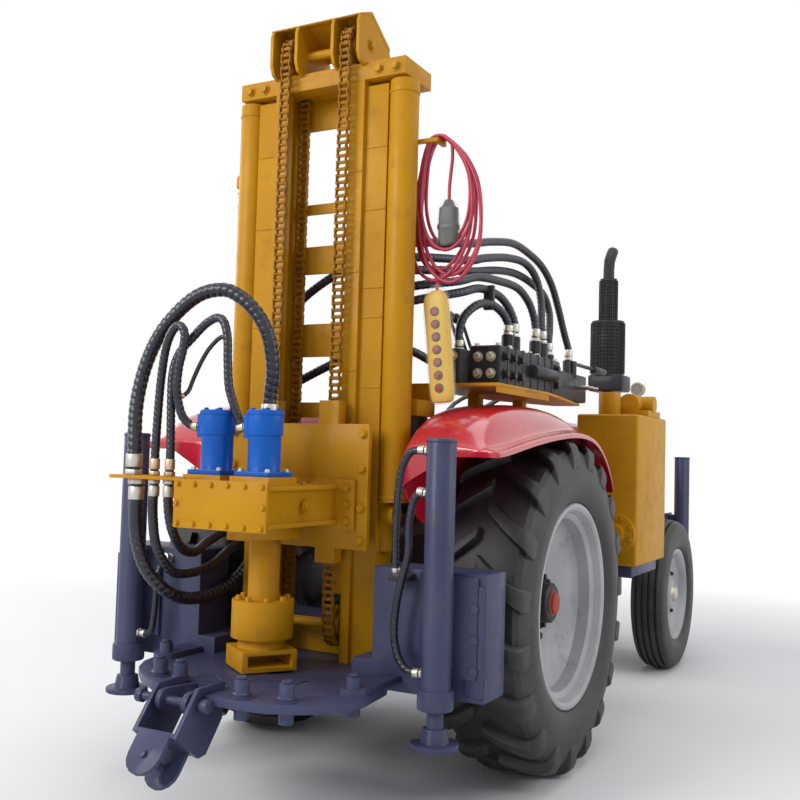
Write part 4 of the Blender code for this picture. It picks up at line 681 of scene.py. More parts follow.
# Spun parts of a wheel: name, slot, node, finish, steps, soft angle, and a profile along the axle
REAR_PARTS = (
    ("rear_rim_%s_dish", "silver_paint", "rear_rim_%s", None, 96, 26, (
        (-0.165, 0.405), (-0.159, 0.409), (-0.153, 0.405), (-0.153, 0.386), (-0.146, 0.3835), (0.146, 0.3835),
        (0.153, 0.386), (0.153, 0.405), (0.159, 0.409), (0.165, 0.405), (0.165, 0.392), (0.158, 0.380),
        (0.130, 0.366), (0.118, 0.345), (0.070, 0.339), (0.060, 0.330), (0.046, 0.300), (0.012, 0.215),
        (-0.006, 0.185), (-0.010, 0.170), (-0.010, 0.06), (-0.024, 0.06), (-0.024, 0.185), (-0.006, 0.215),
        (0.030, 0.310), (0.038, 0.335), (-0.10, 0.350), (-0.145, 0.362), (-0.158, 0.380), (-0.165, 0.392))),
    ("rear_hub_%s", "black_iron", None, None, 60, 30, (
        (-0.18, 0.0), (-0.18, 0.085), (-0.046, 0.085), (-0.046, 0.125), (0.006, 0.125), (0.013, 0.118),
        (0.013, 0.092), (0.020, 0.084), (0.068, 0.080), (0.076, 0.070), (0.076, 0.0))),
    ("rear_cap_%s", "red_paint", None, "cap_paint", 48, 30, (
        (0.070, 0.0), (0.070, 0.050), (0.078, 0.052), (0.080, 0.044), (0.090, 0.042), (0.094, 0.030),
        (0.094, 0.0))))
FRONT_PARTS = (
    ("front_tyre_%s_ribbed", "tyre_rubber", "front_tyre_%s", None, 90, 24, whole(FRONT_CARCASS)),
    ("front_rim_%s_dish", "silver_paint", "front_rim_%s", None, 84, 26, (
        (-0.080, 0.272), (-0.074, 0.275), (-0.068, 0.272), (-0.068, 0.252), (-0.062, 0.250), (0.062, 0.250),
        (0.068, 0.252), (0.068, 0.272), (0.074, 0.275), (0.080, 0.272), (0.080, 0.260), (0.072, 0.246),
        (0.058, 0.236), (0.040, 0.226), (0.036, 0.214), (0.026, 0.150), (0.030, 0.105), (0.053, 0.082),
        (0.056, 0.074), (0.056, 0.0316), (-0.030, 0.0316), (-0.030, 0.085), (0.012, 0.115), (0.012, 0.150),
        (0.020, 0.214), (0.022, 0.220), (-0.058, 0.234), (-0.072, 0.246), (-0.080, 0.260))),
    ("front_cap_%s", "silver_paint", None, "steel", 40, 30, (
        (0.045, 0.0), (0.045, 0.050), (0.052, 0.050), (0.060, 0.044), (0.074, 0.040), (0.078, 0.032),
        (0.078, 0.0))))
# Nuts of a wheel: name, size, depth, how many, radius of their circle, its turn, and its place along the axle
REAR_NUTS = (("rear_%s_nuts_26", 0.026, 0.018, 8, 0.105, 0.5, 0.012),
             ("rear_%s_nuts_30", 0.030, 0.018, 8, 0.160, 0.5, -0.011))
FRONT_NUTS = (("front_%s_nuts", 0.022, 0.015, 6, 0.13, 0.0, 0.028),)


def lug_section(share, top, slim, wide):
    """One ring of points across a lug, at a share of the tyre's half width."""
    turn = LUG_SWEEP * (1.0 - (1.0 - min(share, 1.0)) ** 1.35) - 0.012
    along = share * LUG_HALF_WIDTH
    if share > LUG_SHOULDER:
        foot = top - LUG_SIDE_SINK
        foot_along = along - LUG_TUCK * (share - LUG_SHOULDER) / (1.0 - LUG_SHOULDER)
    else:
        foot, foot_along = top - LUG_SINK, along
    spots = [(foot, foot_along, wide), (top - 0.010, along, slim * 1.12), (top, along, slim * 0.94)]
    ring = []
    for sign, order in ((-1, spots), (1, reversed(spots))):
        for radius, x, width in order:
            angle = turn + sign * width / top
            ring.append((x, -radius * math.cos(angle), -radius * math.sin(angle)))
    return ring


def rear_tyre():
    lug = lofted([lug_section(*station) for station in LUG_STATIONS], 0.004, 30)
    parts = [spun(whole(REAR_CARCASS), "X", REAR_HUB, 114, 24)]
    pitch = 2 * math.pi / LUGS
    hub = Matrix.Translation(at(*REAR_HUB))
    for piece, start in ((lug, 0.0), (mirrored(lug), pitch / 2)):
        parts += repeated(piece, [hub @ Matrix.Rotation(start + i * pitch, 4, "X") for i in range(LUGS)])
    return shaded(joined(parts), 34)


class RIG_OT_wheels(bpy.types.Operator):
    """Moulds the tyres with their lugs and ribs, and spins the rims and hubs"""
    bl_idname = "rig.wheels"
    bl_label = "Wheels"

    def execute(self, context):
        both_sides(rear_tyre(), "rear_tyre_%s_moulded", "tyre_rubber", "rear_wheel_%s", "rear_tyre_%s")
        for body, hub, parts, nuts in (("rear_wheel_%s", REAR_HUB, REAR_PARTS, REAR_NUTS),
                                       ("front_wheel_%s", FRONT_HUB, FRONT_PARTS, FRONT_NUTS)):
            for name, slot, stood_for, finish, steps, angle, profile in parts:
                both_sides(spun(profile, "X", hub, steps, angle), name, slot, body, stood_for, finish)
            for name, size, depth, count, radius, turn, face in nuts:
                heads = [((hub[0] + face, hub[1] + y, hub[2] + z), OUT) for y, z in circle(count, radius, turn)]
                both_sides(hex_bolts(size, depth, heads), name, "black_iron", body)
        return {"FINISHED"}


# Fenders: along the tractor, the heights of the crown, the outer lip and the inner foot
FENDER_STATIONS = (
    (-0.800, 1.285, 1.270, 1.150), (-0.797, 1.287, 1.271, 1.148), (-0.700, 1.385, 1.278, 1.020),
    (-0.500, 1.445, 1.312, 0.960), (-0.200, 1.465, 1.348, 0.930), (0.050, 1.455, 1.365, 0.930),
    (0.240, 1.420, 1.355, 0.960), (0.380, 1.355, 1.305, 1.000), (0.500, 1.240, 1.210, 1.040),
    (0.547, 1.145, 1.128, 1.080), (0.550, 1.140, 1.125, 1.080))
FENDER_IN = 0.430
FENDER_OUT = 0.800
FENDER_SKIN = 0.008


def fender_section(y, crown, lip, foot):
    """One ring of points round the fender's skin: up from its foot, over the crown and down its rolled lip."""
    drop = crown - lip
    line = ((FENDER_IN, foot), (FENDER_IN, foot + 0.004), (FENDER_IN, (foot + crown) / 2),
            (FENDER_IN, crown - 0.045), (FENDER_IN + 0.010, crown - 0.012), (FENDER_IN + 0.045, crown),
            (FENDER_IN + 0.14, crown + 0.003), (FENDER_OUT - 0.15, crown),
            (FENDER_OUT - 0.110, crown - 0.14 * drop), (FENDER_OUT - 0.080, crown - 0.45 * drop),
            (FENDER_OUT - 0.064, lip + 0.030 * min(1.0, drop / 0.08)), (FENDER_OUT - 0.050, lip + 0.010),
            (FENDER_OUT - 0.020, lip + 0.006), (FENDER_OUT - 0.003, lip), (FENDER_OUT, lip - 0.006),
            (FENDER_OUT, lip - 0.020))
    inner = []
    for i, (x, z) in enumerate(line):
        run = (Vector(line[min(i + 1, len(line) - 1)]) - Vector(line[max(i - 1, 0)])).normalized()
        inner.append((x + run.y * FENDER_SKIN, z - run.x * FENDER_SKIN))
    return [at(x, y, z) for x, z in (*line, *reversed(inner))]


class RIG_OT_fenders(bpy.types.Operator):
    """Lofts the curved fenders with their rolled lips"""
    bl_idname = "rig.fenders"
    bl_label = "Fenders"

    def execute(self, context):
        fender = lofted([fender_section(*station) for station in FENDER_STATIONS], 0.0, 60, 2)
        both_sides(fender, "fender_%s_pressing", "red_paint", "rig", "fender_%s")
        return {"FINISHED"}


# Chains: an endless loop of links round each pair of sprockets

CHAIN_X = 0.135
CHAIN_Y = -0.715
CHAIN_RADIUS = 0.070
CHAIN_ENDS = (0.62, 2.80)
LINKS = 190
# Of a link's plate: half its waist, the radius and the opening angle of its ends, and half its thickness
LINK_WAIST = 0.0075
LINK_END = 0.0105
LINK_OPENING = 0.3
PLATE_HALF = 0.0016
ROLLER_RADIUS = 0.0070
# How far from the chain's middle the plates of every other link stand
PLATE_PLACES = (0.0155, 0.0205)
SPROCKET_HALF = 0.007
BOSS_RADIUS = 0.040
BOSS_HALF = 0.021
TEETH = 17
# Round one tooth: how far through its turn, and the radius
TOOTH = ((0.0, 0.0615), (0.22, 0.0625), (0.42, 0.0745), (0.58, 0.0745), (0.78, 0.0625))


def chain_spot(run):
    """Where a distance along the loop lies, as Y and Z."""
    low, high = CHAIN_ENDS
    straight, bend = high - low, math.pi * CHAIN_RADIUS
    run %= 2 * (straight + bend)
    side, end, way = -CHAIN_RADIUS, high, 1
    if run >= straight + bend:
        run -= straight + bend
        side, end, way = CHAIN_RADIUS, low, -1
    if run < straight:
        return side, end - way * (straight - run)
    angle = (run - straight) / CHAIN_RADIUS
    return side * math.cos(angle), end + way * CHAIN_RADIUS * math.sin(angle)


def chain_link(spread, pitch):
    """Two waisted side plates and the roller between them, along +Z from the origin."""
    ends = [[(LINK_END * math.cos(a), foot - LINK_END * math.sin(a)) for a in angles] for foot, angles in (
        (0.0, (LINK_OPENING, math.pi / 2, math.pi - LINK_OPENING)),
        (pitch, (math.pi + LINK_OPENING, 1.5 * math.pi, -LINK_OPENING)))]
    outline = [*ends[0], (-LINK_WAIST, pitch / 2), *ends[1], (LINK_WAIST, pitch / 2)]
    plates = [lofted([[(x + side, y, z) for y, z in outline] for side in (-PLATE_HALF, PLATE_HALF)])
              for x in (-spread, spread)]
    return joined([*plates, bar(ROLLER_RADIUS, 2 * spread, (0, 0, 0), 8, axis="X")])


def sprocket(x, height):
    """A toothed wheel between the chain's plates."""
    ring = []
    for i in range(TEETH):
        for shift, radius in TOOTH:
            angle = 2 * math.pi * (i + shift) / TEETH
            ring.append((CHAIN_Y + radius * math.cos(angle), height + radius * math.sin(angle)))
    faces = [[at(x + side, y, z) for y, z in ring] for side in (-SPROCKET_HALF, SPROCKET_HALF)]
    boss = cylinder(BOSS_RADIUS, x - BOSS_HALF, x + BOSS_HALF, "X", (CHAIN_Y, height), 28, 0.002)
    return joined([lofted(faces, 0.0012, 40), boss])


class RIG_OT_chains(bpy.types.Operator):
    """Links the two feed chains round their sprockets"""
    bl_idname = "rig.chains"
    bl_label = "Chains"

    def execute(self, context):
        pitch = (2 * (CHAIN_ENDS[1] - CHAIN_ENDS[0]) + 2 * math.pi * CHAIN_RADIUS) / LINKS
        spots = [chain_spot(i * pitch) for i in range(LINKS + 1)]
        for x, word in ((-CHAIN_X, "left"), (CHAIN_X, "right")):
            pieces = []
            for kind, spread in enumerate(PLATE_PLACES):
                places = []
                for (y, z), (next_y, next_z) in list(zip(spots, spots[1:]))[kind::2]:
                    run = Vector((0, next_y - y, next_z - z)).normalized()
                    turn = Matrix(((1, 0, 0), (0, run.z, run.y), (0, -run.y, run.z))).to_4x4()
                    places.append(Matrix.Translation(at(x, CHAIN_Y + y, z)) @ turn)
                pieces += repeated(chain_link(spread, pitch), places)
            node_name = "chain_" + word
            parts = [(joined(pieces), node_name + "_links")]
            parts += [(sprocket(x, height), "sprocket_%s_%s" % (word, end))
                      for height, end in zip(CHAIN_ENDS, ("low", "top"))]
            for part, name in parts:
                settle(part, name, "yellow_paint", BODY_OF[node_name], node_name, finish="chain_paint")
        return {"FINISHED"}


# Hoses: the same routes as the solids'

GAP = 0.0003
HOSE_PLATE_Z = (1.144, 1.156)
PLATE_UP = HOSE_PLATE_Z[1] + GAP
PLATE_DOWN = HOSE_PLATE_Z[0] - GAP
MOTOR_Y = -1.16
PORT_Z = 1.335
LEFT_PORT_X = -0.10 - 0.067 - GAP
RIGHT_PORT_X = 0.10 - 0.067 - GAP
SWIVEL_TOP = 1.36
VALVE_TOP = 1.69
JACK_FACE = 0.662 - 0.049 * math.cos(math.pi / 20) - GAP
FRAME_REAR = -0.885
GOOSENECK = (-0.425, -0.645, 2.325)
ARCH_BLOCK_X = (0.165, 0.28)

# Each hose: the node that it stands for, its body, or None where it runs from the rig to the carriage, its
# diameter, the lengths of its first and last fittings, and its route
HOSES = {
    "swivel": ("swivel_hose", "carriage", 0.050, (0.075, 0.060), (
        (-0.442, -1.2, PLATE_UP), (-0.442, -1.2, 1.25), (-0.459, -1.185, 1.37), (-0.46, -1.169, 1.472),
        (-0.438, -1.154, 1.58), (-0.394, -1.138, 1.677), (-0.316, -1.123, 1.762), (-0.236, -1.108, 1.813),
        (-0.149, -1.092, 1.824), (-0.088, -1.077, 1.797), (-0.039, -1.062, 1.752), (-0.003, -1.046, 1.695),
        (0.013, -1.031, 1.635), (0.016, -1.012, 1.54), (0.0, -1.0, 1.45), (0.0, -1.0, SWIVEL_TOP + GAP))),
    "motor_a": ("motor_hoses", "carriage", 0.030, (0.060, 0.045), (
        (-0.344, -1.2, PLATE_UP), (-0.344, -1.2, 1.25), (-0.338, -1.2, 1.40), (-0.326, -1.203, 1.52),
        (-0.305, -1.208, 1.615), (-0.272, -1.213, 1.67), (-0.24, -1.216, 1.683), (-0.218, -1.216, 1.655),
        (-0.222, -1.216, 1.60), (-0.24, -1.215, 1.53), (-0.249, -1.208, 1.45), (-0.244, -1.185, 1.375),
        (-0.222, -1.165, 1.34), (-0.19, MOTOR_Y, PORT_Z), (LEFT_PORT_X, MOTOR_Y, PORT_Z))),
    "motor_b": ("motor_hoses", "carriage", 0.030, (0.060, 0.045), (
        (-0.275, -1.2, PLATE_UP), (-0.275, -1.2, 1.25), (-0.285, -1.195, 1.42), (-0.289, -1.188, 1.52),
        (-0.27, -1.18, 1.59), (-0.215, -1.176, 1.645), (-0.16, -1.176, 1.69), (-0.112, -1.176, 1.71),
        (-0.078, -1.178, 1.695), (-0.058, -1.18, 1.64), (-0.053, -1.18, 1.56), (-0.045, -1.178, 1.47),
        (-0.024, -1.17, 1.40), (-0.01, -1.163, 1.36), (0.008, MOTOR_Y, PORT_Z),
        (RIGHT_PORT_X, MOTOR_Y, PORT_Z))),
    "motor_c": ("motor_hoses", "carriage", 0.016, (0.020, 0.020), (
        (-0.246, -1.20, 1.43), (-0.232, -1.17, 1.455), (-0.223, -1.155, 1.50), (-0.195, -1.15, 1.56),
        (-0.16, -1.148, 1.61), (-0.117, -1.146, 1.645), (-0.092, -1.148, 1.635), (-0.08, -1.155, 1.57),
        (-0.066, -1.165, 1.51), (-0.047, -1.178, 1.475))),
    "feed_a": ("feed_hoses", None, 0.047, (0.075, 0.070), (
        (-0.425, -1.2, PLATE_DOWN), (-0.425, -1.2, 1.05), (-0.42, -1.195, 0.94), (-0.395, -1.165, 0.82),
        (-0.355, -1.08, 0.73), (-0.345, -0.95, 0.70), (-0.345, -0.80, 0.715), (-0.355, -0.67, 0.76),
        (-0.378, -0.56, 0.84), (-0.39, -0.505, 0.96), (-0.39, -0.50, 1.10), (-0.39, -0.50, 1.38),
        (-0.40, -0.54, 1.50), (-0.418, -0.62, 1.62), (-0.42, -0.645, 1.75), (-0.412, -0.645, 1.99),
        (-0.425, -0.645, 2.22), GOOSENECK)),
    "feed_b": ("feed_hoses", None, 0.034, (0.060, 0.045), (
        (-0.344, -1.2, PLATE_DOWN), (-0.344, -1.2, 1.02), (-0.336, -1.18, 0.90), (-0.325, -1.11, 0.815),
        (-0.325, -1.0, 0.80), (-0.335, -0.87, 0.82), (-0.35, -0.75, 0.865), (-0.352, -0.66, 0.90),
        (-0.345, -0.585, 0.97), (-0.335, -0.565, 1.10), (-0.33, -0.565, 1.35), (-0.27, -0.56, 1.50),
        (-0.18, -0.557, 1.54), (-0.04, -0.557, 1.60), (0.10, -0.557, 1.65), (0.22, -0.55, 1.67),
        (0.30, -0.50, 1.655), (0.345, -0.43, 1.625), (0.37, -0.40, 1.62), (0.39 - GAP, -0.40, 1.62))),
    "feed_c": ("feed_hoses", None, 0.034, (0.060, 0.045), (
        (-0.275, -1.2, PLATE_DOWN), (-0.275, -1.2, 1.06), (-0.28, -1.17, 0.97), (-0.295, -1.10, 0.90),
        (-0.32, -1.0, 0.875), (-0.36, -0.88, 0.90), (-0.388, -0.76, 0.925), (-0.39, -0.66, 0.945),
        (-0.388, -0.59, 1.0), (-0.385, -0.567, 1.10), (-0.38, -0.565, 1.42), (-0.34, -0.56, 1.62),
        (-0.27, -0.557, 1.77), (-0.18, -0.557, 1.87), (-0.05, -0.557, 1.95), (0.06, -0.557, 1.99),
        (0.13, -0.557, 2.0), (ARCH_BLOCK_X[0] - GAP, -0.557, 2.0))),
    "arch_a": ("arch_hoses", "rig", 0.034, (None, 0.055), (
        (0.24, -0.557, 2.06), (0.32, -0.535, 2.07), (0.39, -0.42, 2.09), (0.42, -0.24, 2.12),
        (0.43, -0.05, 2.165), (0.44, 0.167, 2.20), (0.45, 0.347, 2.185), (0.46, 0.484, 2.15),
        (0.47, 0.59, 2.08), (0.48, 0.66, 1.98), (0.49, 0.72, 1.87), (0.50, 0.76, 1.79),
        (0.50, 0.76, 1.735 + GAP))),
    "arch_b": ("arch_hoses", "rig", 0.034, (None, 0.055), (
        (0.24, -0.557, 2.005), (0.32, -0.53, 2.015), (0.39, -0.40, 2.03), (0.42, -0.239, 2.05),
        (0.438, -0.128, 2.08), (0.457, 0.058, 2.115), (0.475, 0.22, 2.12), (0.493, 0.315, 2.07),
        (0.512, 0.335, 1.97), (0.53, 0.30, 1.86), (0.54, 0.285, 1.81), (0.54, 0.285, 1.765 + GAP))),
    "arch_c": ("arch_hoses", "rig", 0.034, (None, 0.055), (
        (0.24, -0.557, 1.95), (0.32, -0.53, 1.965), (0.40, -0.38, 1.985), (0.425, -0.238, 2.005),
        (0.431, 0.02, 2.055), (0.443, 0.202, 2.07), (0.454, 0.363, 2.055), (0.466, 0.49, 2.02),
        (0.477, 0.54, 1.95), (0.489, 0.52, 1.87), (0.50, 0.48, 1.80), (0.50, 0.48, 1.735 + GAP))),
    "arch_d": ("arch_hoses", "rig", 0.034, (None, 0.055), (
        (0.24, -0.557, 1.885), (0.34, -0.53, 1.905), (0.45, -0.416, 1.934), (0.467, -0.279, 1.972),
        (0.483, -0.131, 1.985), (0.50, 0.064, 1.985), (0.517, 0.16, 1.94), (0.533, 0.195, 1.872),
        (0.54, 0.20, 1.81), (0.54, 0.20, 1.765 + GAP))),
    "arch_e": ("arch_hoses", "rig", 0.034, (None, 0.055), (
        (0.24, -0.557, 1.825), (0.34, -0.53, 1.85), (0.45, -0.398, 1.892), (0.47, -0.254, 1.93),
        (0.49, -0.12, 1.925), (0.515, -0.065, 1.885), (0.535, -0.045, 1.83), (0.54, -0.045, 1.80),
        (0.54, -0.045, 1.755 + GAP))),
    "arch_f": ("arch_hoses", "rig", 0.034, (0.040, 0.040), (
        (0.43, -0.35, VALVE_TOP - 0.02 + GAP), (0.43, -0.35, 1.75), (0.445, -0.335, 1.81),
        (0.475, -0.28, 1.86), (0.50, -0.21, 1.872), (0.525, -0.145, 1.845), (0.54, -0.115, 1.80),
        (0.54, -0.115, 1.755 + GAP))),
    "jack_low": ("jack_hose_right", "rig", 0.026, (0.035, 0.035), (
        (JACK_FACE, -0.955, 0.545), (0.585, -0.955, 0.545), (0.55, -0.955, 0.552), (0.517, -0.951, 0.59),
        (0.50, -0.949, 0.66), (0.507, -0.95, 0.76), (0.528, -0.953, 0.85), (0.548, -0.955, 0.93),
        (0.548, -0.955, 1.02), (0.562, -0.955, 1.10), (0.585, -0.955, 1.13), (JACK_FACE, -0.955, 1.13))),
    "jack_high": ("jack_hose_right", "rig", 0.026, (0.035, 0.030), (
        (JACK_FACE, -0.955, 1.27), (0.585, -0.955, 1.27), (0.545, -0.953, 1.262), (0.513, -0.947, 1.21),
        (0.498, -0.942, 1.13), (0.492, -0.938, 1.05), (0.487, -0.93, 0.95), (0.487, -0.925, 0.88),
        (0.487, -0.922, 0.845))),
    "jack_left": ("jack_hose_left", "rig", 0.026, (0.035, 0.035), (
        (-JACK_FACE, -0.955, 0.545), (-0.585, -0.955, 0.545), (-0.553, -0.955, 0.56), (-0.54, -0.955, 0.62),
        (-0.535, -0.955, 0.70), (-0.53, -0.95, 0.78), (-0.53, -0.92, 0.83), (-0.53, FRAME_REAR - GAP, 0.83))),
}
# Guards: for hoses wider than this, the pitch of the wraps and the sides of the tube
GUARD_KINDS = ((0.04, 0.026, 18), (0.02, 0.020, 14), (0.0, 0.012, 8))
WRAP_POINTS = 6
# Of a hose's guard: the share of a turn that is groove, and as shares of the radius its depth and the wraps' swell
GROOVE = 0.16
GROOVE_DEPTH = 0.10
WRAP_SWELL = 0.03
# Clamps round the hoses: name, limits on each axis, and the node that they stand for
STRAPS = (
    ("feed_strap", (-0.404, -0.32), (-0.58, -0.49), (1.208, 1.232), "feed_hoses"),
    ("arch_strap", (0.468, 0.512), (-0.21, -0.19), (1.85, 1.95), "arch_hoses"),
    ("jack_clip", (0.47, 0.542), (FRAME_REAR - GAP - 0.062, FRAME_REAR - GAP), (0.833, 0.857), "jack_hose_right"))


ROUTE_STEPS = 24


def between(a, b, c, d, t):
    """A place on the smooth curve from b to c, with a before them and d after them."""
    return 0.5 * (2 * b + (c - a) * t + (2 * a - 5 * b + 4 * c - d) * t ** 2 + (3 * b - a - 3 * c + d) * t ** 3)


def smooth_route(points, spacing):
    """Evenly spaced points of a smooth curve through the route's own points, in the model's frame."""
    spots = [Vector(point) for point in points]
    ends = [2 * spots[0] - spots[1], *spots, 2 * spots[-1] - spots[-2]]
    fine = [between(*ends[i - 1:i + 3], step / ROUTE_STEPS) for i in range(1, len(ends) - 2)
            for step in range(ROUTE_STEPS)]
    fine.append(spots[-1])
    runs = [0.0]
    for a, b in zip(fine, fine[1:]):
        runs.append(runs[-1] + (b - a).length)
    count = max(3, round(runs[-1] / spacing) + 1)
    even, step = [], 0
    for i in range(count):
        want = runs[-1] * i / (count - 1)
        while step < len(runs) - 2 and runs[step + 1] < want:
            step += 1
        share = (want - runs[step]) / (runs[step + 1] - runs[step])
        even.append(AXLE + fine[step].lerp(fine[step + 1], share))
    return even, runs[-1]


def swept(name, points, radii, sides):
    """A tube along close points; radii(i, side) gives its radius at each place."""
    last = len(points) - 1
    ahead = [(points[min(i + 1, last)] - points[max(i - 1, 0)]).normalized() for i in range(last + 1)]
    normal = ahead[0].orthogonal().normalized()
    verts = []
    for i, point in enumerate(points):
        normal = (normal - ahead[i] * normal.dot(ahead[i])).normalized()
        across = ahead[i].cross(normal)
        for side in range(sides):
            angle = 2 * math.pi * side / sides
            verts.append(point + (normal * math.cos(angle) + across * math.sin(angle)) * radii(i, side))
    faces = []
    for first in range(0, last * sides, sides):
        for side in range(sides):
            a, b = first + side, first + (side + 1) % sides
            faces.append((a, b, b + sides, a + sides))
    faces += [tuple(reversed(range(sides))), tuple(range(last * sides, (last + 1) * sides))]
    mesh = bpy.data.meshes.new(name)
    mesh.from_pydata(verts, [], faces)
    return shaded(linked(name, mesh), 50)


def guarded(name, route, diameter):
    """A hose in a spiral guard: flat wraps with a narrow groove between them."""
    pitch, sides = next((pitch, sides) for over, pitch, sides in GUARD_KINDS if diameter > over)
    points, length = smooth_route(route, pitch / WRAP_POINTS)
    spacing = length / (len(points) - 1)

    def wrap(i, side):
        phase = (i * spacing / pitch + side / sides) % 1.0
        if phase < GROOVE:
            return diameter / 2 * (1.0 - GROOVE_DEPTH)
        return diameter / 2 * (1.0 + WRAP_SWELL * math.sin(math.pi * (phase - GROOVE) / (1.0 - GROOVE)))

    return swept(name, points, wrap, sides), points, length


# Along a fitting: start and end as shares of its length, radius as a share of the hose's, and sides
CRIMP = ((0.0, 0.26, 1.36, 6), (0.24, 0.40, 0.98, 24), (0.38, 1.0, 1.20, 24))


def crimp(start, way, radius, reach):
    """The end of a hose: a nut at the port, then a crimped sleeve over the hose."""
    parts = []
    for low, high, wide, sides in CRIMP:
        middle = (0, 0, reach * (low + high) / 2)
        parts.append(bar(radius * wide, reach * (high - low), middle, sides, radius * wide * 0.08))
    end = joined(parts)
    end.data.transform(Matrix.Translation(start) @ aligned(way))
    return end


def spots_of(points, step):
    """A cord's path: every few of its points, and the last one."""
    return [tuple(point) for point in (*points[::step], points[-1])]


class RIG_OT_hoses(bpy.types.Operator):
    """Runs the guarded hoses along their routes, with their crimped ends"""
    bl_idname = "rig.hoses"
    bl_label = "Hoses"

    def execute(self, context):
        manifold = block(ARCH_BLOCK_X, (-0.60 + GAP, -0.515), (1.78, 2.10), 0.006)
        settle(manifold, "hose_manifold", "yellow_paint", "rig", "arch_hoses")
        for name, x, y, z, stood_for in STRAPS:
            settle(block(x, y, z, 0.003), name, "black_plastic", "rig", stood_for)
        for key, (stood_for, body, diameter, reaches, route) in HOSES.items():
            tube, points, length = guarded(key + "_hose", route, diameter)
            for word, here, there, reach, rides in (("start", 0, 4, reaches[0], body or "carriage"),
                                                    ("end", -1, -5, reaches[1], body or "rig")):
                if reach:
                    end = crimp(points[here], points[there] - points[here], diameter / 2, reach)
                    settle(end, "%s_%s_fitting" % (key, word), "hose_rubber", rides,
                                       finish="brass" if key.startswith("motor") else "steel")
            settle(tube, key + "_line", "hose_rubber", body, stood_for, finish="guard_plastic")
            if body is None:
                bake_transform(tube)
            tuple(points[0])
            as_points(spots_of(points, 6))
        return {"FINISHED"}


# The pendant, its bag and its red cable

PENDANT_Y = -0.62
PENDANT_LEAN = 0.10
# Rings of the pendant and of its bag: height, X, half the width and half the thickness
PENDANT_RINGS = (
    (1.447, 0.4985, 0.026, 0.012), (1.451, 0.498, 0.038, 0.018), (1.462, 0.497, 0.046, 0.023),
    (1.60, 0.484, 0.047, 0.024), (1.72, 0.472, 0.0475, 0.024), (1.80, 0.463, 0.049, 0.024),
    (1.838, 0.456, 0.047, 0.023), (1.856, 0.459, 0.030, 0.018), (1.8645, 0.4615, 0.018, 0.012))
BAG_RINGS = (
    (1.438, 0.500, 0.046, 0.018), (1.47, 0.497, 0.053, 0.030), (1.56, 0.488, 0.054, 0.035),
    (1.66, 0.478, 0.053, 0.036), (1.76, 0.469, 0.055, 0.036), (1.84, 0.458, 0.054, 0.033),
    (1.875, 0.461, 0.030, 0.022), (1.888, 0.461, 0.012, 0.012))
CONNECTOR_X = 0.5025
# Rings of the cable's connector and of its wrap: height, half the width and half the thickness
CONNECTOR_RINGS = (
    (2.020, 0.030, 0.020), (2.024, 0.034, 0.024), (2.085, 0.036, 0.026), (2.090, 0.040, 0.029),
    (2.104, 0.040, 0.029), (2.109, 0.036, 0.026), (2.168, 0.034, 0.024), (2.176, 0.022, 0.019),
    (2.197, 0.014, 0.013), (2.199, 0.010, 0.010))
WRAP_RINGS = ((2.012, 0.036, 0.024), (2.05, 0.044, 0.032), (2.12, 0.047, 0.034), (2.17, 0.040, 0.030),
              (2.205, 0.020, 0.018))
BUTTONS = 7
BUTTON_PITCH = 0.047
FIRST_BUTTON = 1.50
# A place on the row of buttons, as X and Z, and how much it leans
ROW_FOOT = (0.4955, 1.47)
ROW_SLOPE = 0.0935
HOOK_TOP = (0.462, PENDANT_Y, 2.4375)
# One turn of the hank round the hook, as X and Z
HANK_LOOP = (
    (0.445, 2.4375), (0.479, 2.4375), (0.51, 2.415), (0.56, 2.36), (0.605, 2.27), (0.622, 2.15), (0.612, 2.03),
    (0.565, 1.94), (0.50, 1.897), (0.435, 1.92), (0.39, 1.99), (0.37, 2.10), (0.377, 2.22), (0.395, 2.34),
    (0.42, 2.415))
# The points of the loop at which the hank starts, and at which it ends
HANK_START = 11
HANK_END = 2
HANK_TURNS = 9
HANK_STEPS = 250
# How the turns differ: waves of their reach, depth and sideways swing, each its height, rate and phase
REACH = 0.90
REACH_WAVES = ((0.125, 2.15, 0.6), (-0.03, 5.1, 0.0))
DEPTH_WAVE = (0.023, 1.37, 4.2)
SWING_WAVE = (0.030, 1.71, 0.4)
LOOP_HEIGHT = 0.55
CABLE_WIDE = 0.0135
CABLE_STEP = 0.008
CABLE_START = (
    (0.4975, -0.62, 1.455), (0.484, -0.62, 1.60), (0.472, -0.62, 1.72), (0.4635, -0.62, 1.80),
    (0.4625, -0.62, 1.8655), (0.4625, -0.62, 1.885), (0.459, -0.62, 1.91), (0.440, -0.622, 1.945),
    (0.405, -0.626, 2.00))
CABLE_END = ((0.512, -0.62, 2.36), (0.507, -0.62, 2.30), (0.503, -0.62, 2.25), (0.5025, -0.62, 2.198))


def loop_spot(turns, reach, shift):
    """A place on the hank's loop, drawn in towards the hook by its reach."""
    count = len(HANK_LOOP)
    step = (turns % 1.0) * count
    spot = between(*(Vector(HANK_LOOP[(int(step) + k) % count]) for k in (-1, 0, 1, 2)), step % 1.0)
    hook = Vector((HOOK_TOP[0], HOOK_TOP[2]))
    spot = hook + (spot - hook) * reach
    return Vector((spot.x, HOOK_TOP[1] + shift, spot.y))


def wave(turns, height, rate, phase):
    return height * math.sin(rate * turns + phase)


